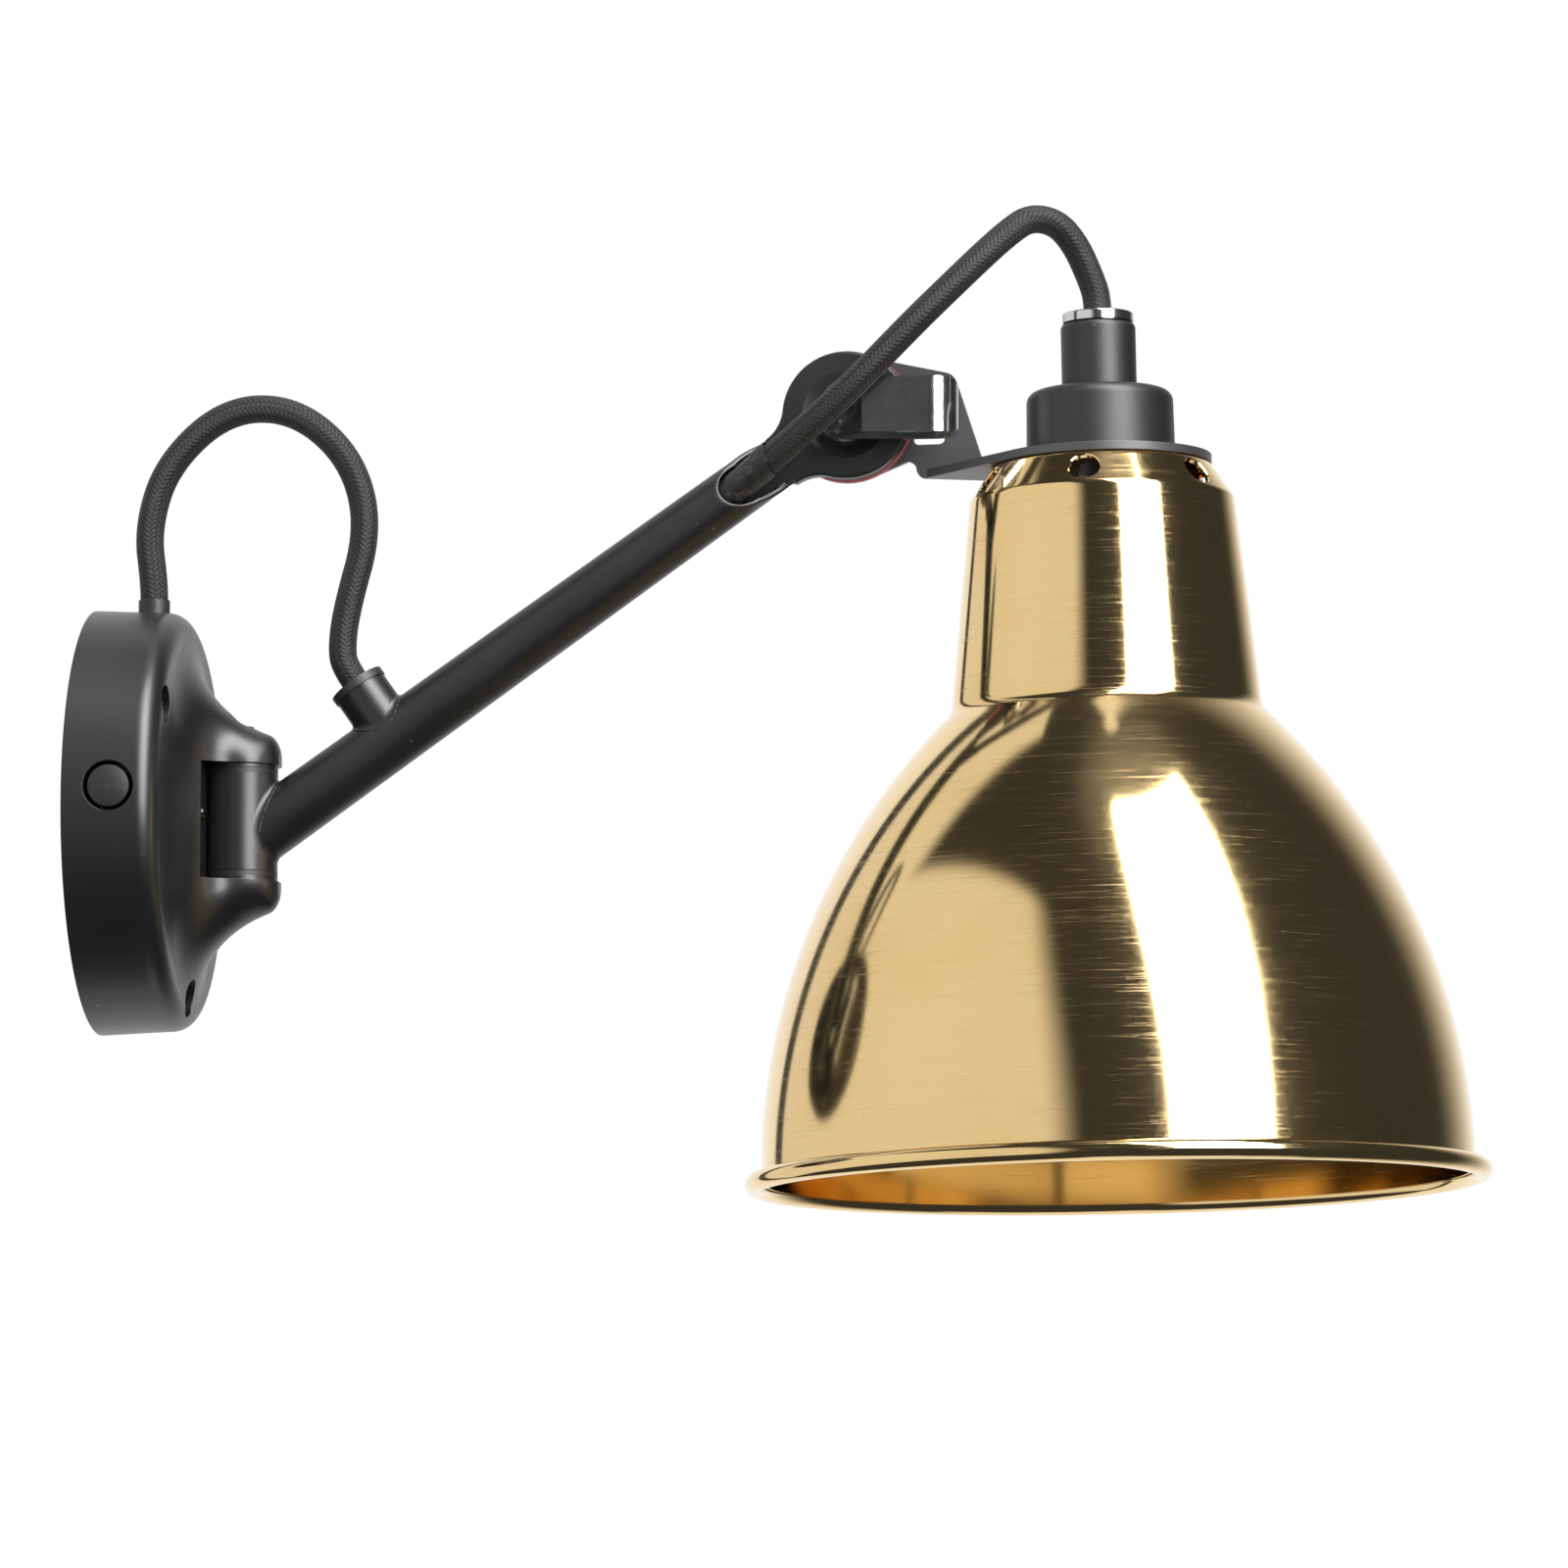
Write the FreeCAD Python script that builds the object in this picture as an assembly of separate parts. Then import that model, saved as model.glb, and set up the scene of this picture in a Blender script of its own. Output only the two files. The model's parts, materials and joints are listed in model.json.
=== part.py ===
import FreeCAD, Part
import os
from math import asin, atan2, cos, pi, radians, sin, sqrt, tan

# Swing arm wall lamp: a cast wall base with a push switch, an arm that swings on a vertical
# hinge, and a head that tilts on a friction joint and carries a spun brass shade.
# Frame: the origin is the centre of the base on the wall, +X leaves the wall, +Z is up.
# Lengths are millimetres and angles are degrees.

V = FreeCAD.Vector
X, Y, Z = V(1, 0, 0), V(0, 1, 0), V(0, 0, 1)
ORIGIN = V(0, 0, 0)

# Clearances
run_gap = 0.05          # radial gap of a pin, screw or cord in its hole
face_gap = 0.03         # gap between faces that slide on each other
cord_bend_share = 0.45  # share of a run that each of its two bends may take

# Wall base
base_d = 81.0
base_draft = 0.6            # how far the side draws in towards the front
base_depth = 17.6
base_wall = 3.0
base_edge_r = 4.0
base_inner_r = 2.0
screw_circle_d = 68.0
screw_hole_d = 4.5
screw_head_d = 7.2
screw_head_depth = 8.0
screw_pillar_d = 10.0
screw_count = 3
screw_first_angle = 56.0    # from the top towards -Y

# Swing hinge
hinge_x = 27.0
hinge_drop = 0.6            # middle of the hinge, below the middle of the base
hinge_pin_d = 5.0
knuckle_d = 14.2
knuckle_h = 18.7
hinge_washer_t = 0.9
ear_r = 7.8
ear_top = 17.1              # half height of the nose at the hinge axis, without its flare
ear_slope = 6.0             # how fast the nose narrows away from the wall
ear_tip_len = 2.4           # rounded end of each ear, along the nose
ear_tip_h = 4.0             # the same, up the nose
ear_pad_h = 0.8             # machined pad that stands out of each ear
nose_spread_z = 18.0        # spread of the nose's flare on the front face, up and down
nose_rise_z = 20.0          # how far that flare climbs from the front face
nose_spread_y = 16.0        # the same flare, to both sides
nose_rise_y = 10.2
nose_shares = (0.0012, 0.006, 0.02, 0.05, 0.1, 0.17, 0.29, 0.42, 0.56, 0.7, 0.82, 0.9, 0.95, 0.975,
               0.99)        # where the nose is drawn
pocket_floor = 3.7          # floor of the gap between the ears, from the front face
pocket_gap = 0.6            # gap round the knuckle in its pocket
pin_seat = 6.2              # depth of the pin in the lower ear
pin_sink = 1.2              # the pin's top, below the top of the ear
pin_slot = 0.9
set_screw_d = 2.4
set_screw_y = -9.9
set_screw_z = 0.4
set_screw_len = 4.4
set_screw_proud = 0.5

# Push switch
button_d = 7.8
button_hole_d = 9.5
button_x = 8.8
button_z = 2.5
button_len = 5.2
button_proud = -0.3         # below the round of the base's foot
button_dome = 0.5
button_travel = 2.0
stem_d = 4.0
stem_len = 5.8
switch_boss_d = 13.0
switch_flange_d = 12.0
switch_flange_t = 2.0
switch_side = 10.0
switch_len = 13.0

# Terminal block inside the base
block_x, block_y, block_z = 11.0, 30.0, 16.0
block_top = -9.0
pole_count = 3
pole_pitch = 9.6
pole_screw_d = 4.2
pole_screw_len = 3.0
pole_screw_seat = 3.8
pole_wire_d = 3.4
pole_wire_depth = 6.6       # wire holes, from the side of the pole screws
pole_groove = 1.0
block_screw_d = 2.9
block_screw_head_d = 5.4
block_screw_head_h = 1.8
block_screw_bite = 5.0
block_screw_drop = 5.2      # fixing screw below the row of pole screws

# Cord and its outlets
cord_d = 5.4
cord_lead = 3.2             # straight stretch of a free cord at its outlet
outlet_x = 10.0
outlet_sleeve_d = 6.0
outlet_proud = 2.2
outlet_inside = 5.0

# Arm, measured along its axis from the front of the knuckle
arm_slope = 35.2
arm_len = 133.0             # to the head pivot
eye_reach = 17.0            # from the end of the tube to the pivot
arm_root_d = 11.9
arm_end_d = 10.3
arm_bore_d = 8.0
arm_bore_start = 3.0
boss_at = 27.4
boss_d = 10.5
boss_h = 11.2
boss_bore_d = 6.6
boss_ring_d = 11.0
boss_ring_h = 1.5
scoop_len = 12.0            # the slanted cut that opens the tube
exit_back = 13.0            # where the cord turns out of the arm, from the tube's end
exit_angle = 25.0
shrink_d = 6.7
shrink_gap = 0.3
shrink_start = 7.1          # the heat-shrink sleeve, from the cord's turn
shrink_end = 15.5
exit_lead = 16.0            # straight stretch of the cord beyond the sleeve

# Arm eye
eye_d = 24.5
eye_t = 3.6
eye_inset = 0.15            # the eye's back, from the back of the tube
eye_edge = 0.6
eye_fillet = 8.0
tongue_len = 8.0            # the eye's tongue inside the tube
dish_d = 16.6
dish_depth = 1.0
dish_floor_d = 11.6

# Head joint stack
pivot_bolt_d = 5.0
bolt_head_d = 10.0
bolt_head_h = 3.2
bolt_slot = 1.2
friction_d = 25.2
friction_t = 1.2
clamp_washer_d = 11.0
clamp_washer_t = 2.2
lever_w = 10.5
lever_t = 1.5
lever_tail = 3.7            # end of the lever beyond the pivot
lever_reach = 22.0
lever_bend_r = 3.7          # inside radius of the loop's bend
lever_flat = -0.4           # where the front leaf starts to step out, from the pivot
lever_step = 4.6            # length of that step
lever_end_r = 4.0
lever_corner_r = 1.5
clamp_nut_d = 8.0
clamp_nut_h = 4.2

# Bracket: an upright plate on a flange that carries the lamp holder
bracket_t = 1.6
flange_t = 1.6
flange_drop = 12.0          # from the pivot to the flange's underside
flange_ring_d = 41.8
plate_top_reach = 20.4
plate_top_rise = 7.8
plate_corner_r = 2.8
plate_foot_reach = 26.4
notch_reach = 11.2
notch_drop = 8.7
notch_bulge = 0.3
under_angle = -67.4         # where the plate's lower edge leaves the disc
flange_tip = 14.4
window_left, window_right = 12.4, 18.3
window_low, window_high = -5.6, 1.6
window_r = 1.0

# Lamp holder and shade, on an axis beyond the pivot
axis_reach = 48.5
head_lean = 1.1             # the head leans back this far at rest
cup_d = 28.2
cup_top_d = 27.8
cup_h = 12.7
cup_top_t = 2.2
cup_edge_r = 2.2
neck_d = 14.2
neck_h = 13.1
neck_edge_r = 1.2
spigot_d = 9.8
spigot_h = 3.4
grip_ring_d = 13.6
grip_ring_h = 1.9
grip_ring_edge = 0.4
socket_d = 24.4
socket_len = 31.0
socket_top_gap = 1.4
socket_bore_d = 15.6
socket_bore_len = 25.0
shell_bore_d = 13.9
shell_len = 20.0
shell_inset = 2.0
contact_d = 6.0
contact_h = 1.4
shade_nut_d = 37.0
shade_nut_h = 5.0
shade_t = 0.9
shade_top_d = 41.2
shade_top_r = 1.4           # round of the top edge
shade_shoulder_h = 6.6      # the slanted shoulder, from the top to its lower crease
shade_crease_r = 2.0
shade_neck_top_d = 50.0
shade_neck_low_d = 57.8
shade_neck_len = 36.2       # from the crease
shade_fillet_r = 4.0
shade_dome_r = 122.0
shade_mouth_d = 133.8
shade_h = 135.0             # from the top to the middle of the bead
bead_d = 3.8
bead_out = 0.9              # share of the bead's radius that lies outside the wall
vent_d = 6.2
vent_count = 6
vent_rise = 3.9             # middle of a vent, up the shoulder from the crease
vent_first_angle = -4.0     # from -Y towards +X

# Routes of the two free stretches of cord, chosen points; the second is measured from the head pivot
loop_route = [
    (8.5, 0.0, 56.5), (12.2, 0.0, 69.0), (23.6, 0.0, 79.4), (36.8, 0.0, 79.4),
    (47.8, 0.0, 70.0), (51.6, 0.0, 56.5), (47.0, 0.0, 40.0), (46.2, 0.0, 32.0)]
head_route = [
    (13.6, -14.2, 14.0), (21.2, -12.8, 21.6), (27.2, -10.8, 27.8), (31.6, -8.7, 32.3),
    (35.8, -6.6, 35.8), (40.8, -4.2, 35.2), (44.3, -2.2, 31.1), (46.8, -0.8, 25.3)]

# Derived sizes
base_r = base_d / 2
base_front_d = base_d - 2 * base_draft
inner_x = base_depth - base_wall
inner_r = base_r - base_wall
knuckle_r = knuckle_d / 2
pad_half = knuckle_h / 2 + hinge_washer_t + 2 * face_gap
pocket_half = pad_half + ear_pad_h
gap_floor_x = base_depth + pocket_floor
arm_tube_len = arm_len - eye_reach
scoop_at = arm_tube_len - scoop_len
exit_at = arm_tube_len - exit_back
hinge_mid = V(hinge_x, 0, -hinge_drop)
arm_root = V(hinge_x + knuckle_r, 0, 0)
pivot = arm_root + V(arm_len * cos(radians(arm_slope)), 0, arm_len * sin(radians(arm_slope)))
eye_start = arm_len - sqrt((eye_d / 2 + eye_fillet) ** 2 - (arm_end_d / 2 + eye_fillet) ** 2)
eye_back = arm_end_d / 2 - eye_inset
eye_front = eye_back - eye_t
plate_near = eye_back + friction_t + 2 * face_gap
plate_far = plate_near + bracket_t
plate_mid = (plate_near + plate_far) / 2
lever_near = eye_front + dish_depth - clamp_washer_t - face_gap
lever_front = lever_near - 2 * lever_t - clamp_nut_h
axis_x = pivot.x + axis_reach
flange_low = pivot.z - flange_drop
flange_top = flange_low + flange_t
cup_top = flange_top + cup_h
neck_top = cup_top + neck_h
holder_top = neck_top + grip_ring_h
socket_top = cup_top - cup_top_t - socket_top_gap
socket_low = socket_top - socket_len
socket_hole_r = socket_d / 2 + 2 * run_gap
bead_z = flange_low - shade_h


def cylinder(diameter, length, base, axis):
    return Part.makeCylinder(diameter / 2, length, base, axis)


def ring(outer, inner, length, base, axis):
    return cylinder(outer, length, base, axis).cut(cylinder(inner, length, base, axis))


def edge(*points):
    """A straight edge through two points, or an arc through three."""
    if len(points) == 2:
        return Part.LineSegment(*points).toShape()
    return Part.Arc(*points).toShape()


def face(*edges):
    return Part.Face(Part.Wire(Part.__sortEdges__(list(edges))))


def polygon(points):
    return Part.Face(Part.makePolygon(points + points[:1]))


def turned(profile, place, axis):
    """Turns a face in the XZ plane about Z, then stands it at place along axis."""
    solid = profile.revolve(ORIGIN, Z, 360)
    solid.Placement = FreeCAD.Placement(place, FreeCAD.Rotation(Z, axis))
    return solid


def rounded_rod(diameter, length, edge_r, place, axis):
    """A round rod whose far edge is rounded."""
    r = diameter / 2
    knee = V(r - edge_r * (1 - sin(pi / 4)), 0, length - edge_r * (1 - cos(pi / 4)))
    profile = face(
        edge(ORIGIN, V(r, 0, 0)),
        edge(V(r, 0, 0), V(r, 0, length - edge_r)),
        edge(V(r, 0, length - edge_r), knee, V(r - edge_r, 0, length)),
        edge(V(r - edge_r, 0, length), V(0, 0, length)),
        edge(V(0, 0, length), ORIGIN))
    return turned(profile, place, axis)


def slotted(solid, width, depth, top, axis, across, length):
    """Cuts a screwdriver slot into the end of a round piece."""
    box = Part.makeBox(length, width, depth, V(-length / 2, -width / 2, -depth))
    box.Placement = FreeCAD.Placement(top, FreeCAD.Rotation(across, axis.cross(across), axis))
    return solid.cut(box)


def on_arm(shape):
    """Places a shape drawn with the arm's axis along X and its root at the origin."""
    placed = shape.copy()
    turn = FreeCAD.Placement(arm_root, FreeCAD.Rotation(Y, -arm_slope))
    placed.Placement = turn.multiply(placed.Placement)
    return placed


def arm_point(along, y, above):
    turn = FreeCAD.Rotation(Y, -arm_slope)
    return arm_root + turn.multVec(V(along, y, above))


def leaned(shape):
    """Leans an upright head piece about the pivot by the rest angle."""
    placed = shape.copy()
    placed.rotate(pivot, Y, -head_lean)
    return placed


def leaned_point(point):
    return pivot + FreeCAD.Rotation(Y, -head_lean).multVec(point - pivot)


def cord_tube(name, points, diameter):
    """A round cord along straight runs joined by tangent arcs as large as the runs allow."""
    edges, radii, start = [], [], points[0]
    for before, corner, after in zip(points, points[1:], points[2:]):
        back, ahead = before - corner, after - corner
        reach = cord_bend_share * min(back.Length, ahead.Length)
        back.normalize()
        ahead.normalize()
        turn = pi - back.getAngle(ahead)
        radius = reach / tan(turn / 2)
        middle = back + ahead
        middle.normalize()
        inside = corner + middle * (radius / cos(turn / 2) - radius)
        first, last = corner + back * reach, corner + ahead * reach
        edges += [edge(start, first), edge(first, inside, last)]
        radii.append(radius)
        start = last
    edges.append(edge(start, points[-1]))
    path = Part.Wire(edges)
    section = Part.Wire(Part.makeCircle(diameter / 2, points[0], points[1] - points[0]))
    tube = path.makePipeShell([section], True, False)
    share = tube.Volume / (pi * diameter ** 2 / 4 * path.Length)
    print(name, "length %.1f" % path.Length, "volume share %.4f" % share,
          "radii", " ".join("%.1f" % r for r in radii))
    return tube


def flare(depth, spread, rise):
    """How far a root fillet still stands out at a depth above its floor."""
    if depth >= rise:
        return 0.0
    return spread * (1 - sqrt(1 - (1 - depth / rise) ** 2))


def nose_half_height(x):
    tip = max(x - (hinge_x + ear_r - ear_tip_len), 0.0)
    straight = ear_top - (x - hinge_x) * tan(radians(ear_slope))
    round_off = ear_tip_h * (1 - sqrt(1 - (tip / ear_tip_len) ** 2))
    return straight + flare(x - base_depth, nose_spread_z, nose_rise_z) - round_off


def nose_section(share):
    """An upright stadium: the nose of the base cut square to the X axis, at a share of its length."""
    x = base_depth + share * (hinge_x + ear_r - base_depth)
    beyond = max(x - hinge_x, 0.0)
    half_w = sqrt(ear_r ** 2 - beyond ** 2) + flare(x - base_depth, nose_spread_y, nose_rise_y)
    half_h = nose_half_height(x)
    low = half_h - half_w
    knee_y, knee_z = half_w * sin(pi / 4), low + half_w * cos(pi / 4)
    section = Part.Wire([
        edge(V(x, half_w, -low), V(x, half_w, low)),
        edge(V(x, half_w, low), V(x, knee_y, knee_z), V(x, 0, half_h)),
        edge(V(x, 0, half_h), V(x, -knee_y, knee_z), V(x, -half_w, low)),
        edge(V(x, -half_w, low), V(x, -half_w, -low)),
        edge(V(x, -half_w, -low), V(x, -knee_y, -knee_z), V(x, 0, -half_h)),
        edge(V(x, 0, -half_h), V(x, knee_y, -knee_z), V(x, half_w, -low))])
    section.translate(V(0, 0, -hinge_drop))
    return section


def nose():
    """The flared nose that carries both hinge ears, before its gap is cut."""
    return Part.makeLoft([nose_section(share) for share in nose_shares], True, False)


def nose_foot():
    """The root of the nose carried down into the front wall."""
    return Part.Face(nose_section(nose_shares[0])).extrude(V(-base_wall / 2, 0, 0))


def base_dish():
    """The round body of the base, turned about X and open at the wall."""
    front_r = base_front_d / 2
    knee = base_edge_r * (1 - sin(pi / 4))
    inner_knee = base_inner_r * (1 - sin(pi / 4))
    profile = face(
        edge(V(inner_r, 0, 0), V(base_r, 0, 0)),
        edge(V(base_r, 0, 0), V(front_r, 0, base_depth - base_edge_r)),
        edge(V(front_r, 0, base_depth - base_edge_r), V(front_r - knee, 0, base_depth - knee),
             V(front_r - base_edge_r, 0, base_depth)),
        edge(V(front_r - base_edge_r, 0, base_depth), V(0, 0, base_depth)),
        edge(V(0, 0, base_depth), V(0, 0, inner_x)),
        edge(V(0, 0, inner_x), V(inner_r - base_inner_r, 0, inner_x)),
        edge(V(inner_r - base_inner_r, 0, inner_x), V(inner_r - inner_knee, 0, inner_x - inner_knee),
             V(inner_r, 0, inner_x - base_inner_r)),
        edge(V(inner_r, 0, inner_x - base_inner_r), V(inner_r, 0, 0)))
    return turned(profile, ORIGIN, X)


def screw_places():
    for i in range(screw_count):
        angle = radians(screw_first_angle + 360 * i / screw_count)
        yield V(0, -sin(angle) * screw_circle_d / 2, cos(angle) * screw_circle_d / 2)


def block_screw_place():
    return V(0, 0, block_top - block_z / 2 - block_screw_drop)


def wall_base():
    body = base_dish().fuse([nose(), nose_foot()])
    rim = cylinder(base_front_d, base_depth, ORIGIN, X)
    pillars = [cylinder(screw_pillar_d, inner_x + base_wall / 2, p, X).common(rim) for p in screw_places()]
    seat_y = -(base_r + button_proud - button_len - button_travel - run_gap)
    boss_wall = V(button_x, -inner_r - base_wall / 2, button_z)
    boss = cylinder(switch_boss_d, seat_y - boss_wall.y, boss_wall, Y).common(rim)
    body = body.fuse(pillars + [boss])
    reach = 2 * base_d
    gap = Part.makeBox(reach, reach, 2 * pocket_half, V(gap_floor_x, -reach / 2, -pocket_half))
    gap.translate(V(0, 0, -hinge_drop))
    pocket = cylinder(knuckle_d + 2 * pocket_gap, 2 * pocket_half, hinge_mid - Z * pocket_half, Z)
    body = body.cut([gap, pocket])
    for side in (1, -1):
        pad = cylinder(knuckle_d, 2 * ear_pad_h, hinge_mid + Z * side * pad_half, Z * side)
        body = body.fuse(pad)
    holes = [cylinder(hinge_pin_d + 2 * run_gap, reach, hinge_mid - Z * (pad_half + pin_seat), Z)]
    for place in screw_places():
        holes.append(cylinder(screw_hole_d, reach, place, X))
        holes.append(cylinder(screw_head_d, reach, place + X * (base_depth - screw_head_depth), X))
    holes.append(cylinder(button_hole_d, base_r, V(button_x, -base_r - base_wall, button_z), Y))
    outlet = V(outlet_x, 0, inner_r - base_wall)
    holes.append(cylinder(outlet_sleeve_d + 2 * run_gap, 3 * base_wall, outlet, Z))
    holes.append(cylinder(block_screw_d + 2 * run_gap, block_screw_bite + run_gap,
                          block_screw_place() + X * inner_x, X))
    holes.append(cylinder(set_screw_d + 2 * run_gap, set_screw_len,
                          V(gap_floor_x - set_screw_len + set_screw_proud, set_screw_y, set_screw_z), X))
    return body.cut(holes).removeSplitter()


def hinge_pin():
    low = hinge_mid - Z * (pad_half + pin_seat)
    length = pad_half + pin_seat + nose_half_height(hinge_x) - pin_sink
    pin = cylinder(hinge_pin_d, length, low, Z)
    return slotted(pin, pin_slot, 2 * pin_slot, low + Z * length, Z, X, 2 * hinge_pin_d)


def hinge_washers():
    low = knuckle_h / 2 + face_gap
    places = (hinge_mid + Z * low, hinge_mid - Z * (low + hinge_washer_t))
    return Part.Compound([
        ring(knuckle_d, hinge_pin_d + 2 * run_gap, hinge_washer_t, p, Z) for p in places])


def hinge_set_screw():
    start = V(gap_floor_x - set_screw_len + set_screw_proud, set_screw_y, set_screw_z)
    screw = rounded_rod(set_screw_d, set_screw_len, set_screw_d / 5, start, X)
    return slotted(screw, set_screw_d / 5, set_screw_d / 5, start + X * set_screw_len, X, Y, set_screw_d * 2)


def push_button():
    r, rise = button_d / 2, button_len - button_dome
    dome_r = (r ** 2 + button_dome ** 2) / (2 * button_dome)
    half = asin(r / dome_r) / 2
    middle = V(dome_r * sin(half), 0, button_len - dome_r * (1 - cos(half)))
    profile = face(
        edge(ORIGIN, V(r, 0, 0)),
        edge(V(r, 0, 0), V(r, 0, rise)),
        edge(V(r, 0, rise), middle, V(0, 0, button_len)),
        edge(V(0, 0, button_len), ORIGIN))
    place = V(button_x, -base_r - button_proud + button_len, button_z)
    return turned(profile, place, -Y).fuse(cylinder(stem_d, stem_len, place, Y)).removeSplitter()


def switch_body():
    front = -base_r - button_proud + button_len + button_travel + run_gap
    place = V(button_x, front, button_z)
    body = cylinder(switch_flange_d, switch_flange_t, place, Y)
    half = switch_side / 2
    body = body.fuse(Part.makeBox(switch_side, switch_len, switch_side, place - V(half, 0, half)))
    return body.cut(cylinder(stem_d + 4 * run_gap, stem_len, place, Y)).removeSplitter()


def pole_places():
    for i in range(pole_count):
        yield V(inner_x - block_x, (i - (pole_count - 1) / 2) * pole_pitch, block_top - block_z / 2)


def terminal_block():
    corner = V(inner_x - block_x, -block_y / 2, block_top - block_z)
    block = Part.makeBox(block_x, block_y, block_z, corner)
    for place in list(pole_places())[1:]:
        start = V(corner.x, place.y - (pole_pitch + pole_groove) / 2, corner.z)
        block = block.cut(Part.makeBox(block_x / 2, pole_groove, block_z, start))
    for place in pole_places():
        wire_way = V(place.x + pole_wire_depth, place.y, block_top - block_z)
        block = block.cut(cylinder(pole_screw_d + 2 * run_gap, pole_screw_seat, place, X))
        block = block.cut(cylinder(pole_wire_d, block_z / 2, wire_way, Z))
    return block.cut(cylinder(block_screw_d + 4 * run_gap, block_x, V(corner.x, 0, block_screw_place().z), X))


def terminal_screws():
    screws = []
    for place in pole_places():
        start = place + X * pole_screw_seat
        screw = rounded_rod(pole_screw_d, pole_screw_len, pole_screw_d / 8, start, -X)
        screws.append(slotted(screw, pole_screw_d / 5, pole_screw_d / 4, start - X * pole_screw_len, -X, Y,
                              2 * pole_screw_d))
    return Part.Compound(screws)


def block_screw():
    seat = block_screw_place() + X * (inner_x - block_x)
    head = rounded_rod(block_screw_head_d, block_screw_head_h, block_screw_head_h / 3, seat, -X)
    screw = head.fuse(cylinder(block_screw_d, block_x + block_screw_bite, seat, X)).removeSplitter()
    return slotted(screw, block_screw_d / 4, block_screw_head_h / 2, seat - X * block_screw_head_h, -X, Y,
                   2 * block_screw_head_d)


def outlet_sleeve():
    start = V(outlet_x, 0, inner_r - outlet_inside)
    return ring(outlet_sleeve_d, cord_d + 2 * run_gap, outlet_inside + base_wall + outlet_proud, start, Z)


def outlet_top():
    return V(outlet_x, 0, base_r + outlet_proud)


def feed_cord():
    """The cord inside the base, from the terminal block to the top of its outlet sleeve."""
    start = V(outlet_x, 0, block_top)
    return cylinder(cord_d, (outlet_top() - start).Length, start, Z)


def arm_knuckle():
    return ring(knuckle_d, hinge_pin_d + 2 * run_gap, knuckle_h, hinge_mid - Z * knuckle_h / 2, Z)


def arm_radius(along):
    return (arm_root_d + (arm_end_d - arm_root_d) * along / arm_tube_len) / 2


def arm_blank(first, last):
    return Part.makeCone(arm_radius(first), arm_radius(last), last - first, V(first, 0, 0), X)


def exit_axis():
    """The direction in which the cord leaves the arm, drawn with the arm along X."""
    return V(cos(radians(exit_angle)), -sin(radians(exit_angle)), 0)


def exit_point(distance):
    return V(exit_at, 0, 0) + exit_axis() * distance


def exit_way():
    """The room that the cord and its sleeve need to leave the arm."""
    return cylinder(shrink_d + 2 * shrink_gap, arm_len, exit_point(0), exit_axis())


def scoop():
    """All that lies before a slanted plane, which opens the end of the tube towards -Y."""
    r = arm_radius(scoop_at)
    rise = (eye_front + r) / (arm_tube_len - scoop_at)
    last = arm_len + eye_d
    slope = polygon([V(scoop_at, -r, -arm_len), V(last, rise * (last - scoop_at) - r, -arm_len),
                     V(last, -arm_len, -arm_len), V(scoop_at, -arm_len, -arm_len)])
    return slope.extrude(Z * 2 * arm_len)


def arm_tube():
    tube = arm_blank(-knuckle_r, arm_tube_len)
    tube = tube.cut(cylinder(arm_bore_d, arm_tube_len, V(arm_bore_start, 0, 0), X))
    tube = tube.cut([cylinder(boss_bore_d, boss_h, V(boss_at, 0, 0), Z), scoop(), exit_way()])
    knuckle = cylinder(knuckle_d, 4 * knuckle_h, V(hinge_x, 0, -2 * knuckle_h), Z)
    return on_arm(tube).cut(knuckle)


def cord_boss():
    boss = cylinder(boss_d, boss_h, V(boss_at, 0, 0), Z)
    boss = boss.cut([arm_blank(0, arm_tube_len), cylinder(boss_bore_d, boss_h, V(boss_at, 0, 0), Z)])
    return on_arm(boss)


def boss_ring():
    return on_arm(ring(boss_ring_d, cord_d + 2 * run_gap, boss_ring_h, V(boss_at, 0, boss_h), Z))


def eye_plate():
    """The flat eye and the fillets that run into its neck, drawn with the arm along X."""
    r, half = eye_d / 2, arm_end_d / 2
    edges = []
    for side in (1, -1):
        centre = V(eye_start, 0, side * (half + eye_fillet))
        to_eye = V(arm_len, 0, 0) - centre
        to_eye.normalize()
        middle = to_eye - Z * side
        middle.normalize()
        start, end = centre - Z * side * eye_fillet, centre + to_eye * eye_fillet
        edges.append(edge(start, centre + middle * eye_fillet, end))
        edges.append(edge(end, V(arm_len, 0, side * r), V(arm_len + r, 0, 0)))
    edges.append(edge(V(eye_start, 0, half), V(eye_start, 0, -half)))
    plate = face(*edges).extrude(Y * eye_t)
    plate.translate(V(0, eye_front, 0))
    rims = [e for e in plate.Edges if e.Length > eye_fillet and abs(e.BoundBox.YLength) < face_gap]
    return plate.makeFillet(eye_edge, [e for e in rims if e.Curve.TypeId == "Part::GeomCircle"])


def neck_section(along, half_front, half_back, belly_y, belly_z):
    """A cut across the neck: flat in front and behind, with a bulging side above and below."""
    upper = [V(along, eye_front, half_front), V(along, belly_y, belly_z), V(along, eye_back, half_back)]
    lower = [V(p.x, p.y, -p.z) for p in upper]
    return Part.Wire([edge(lower[0], upper[0]), edge(*upper), edge(upper[2], lower[2]),
                      edge(lower[2], lower[1], lower[0])])


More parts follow.
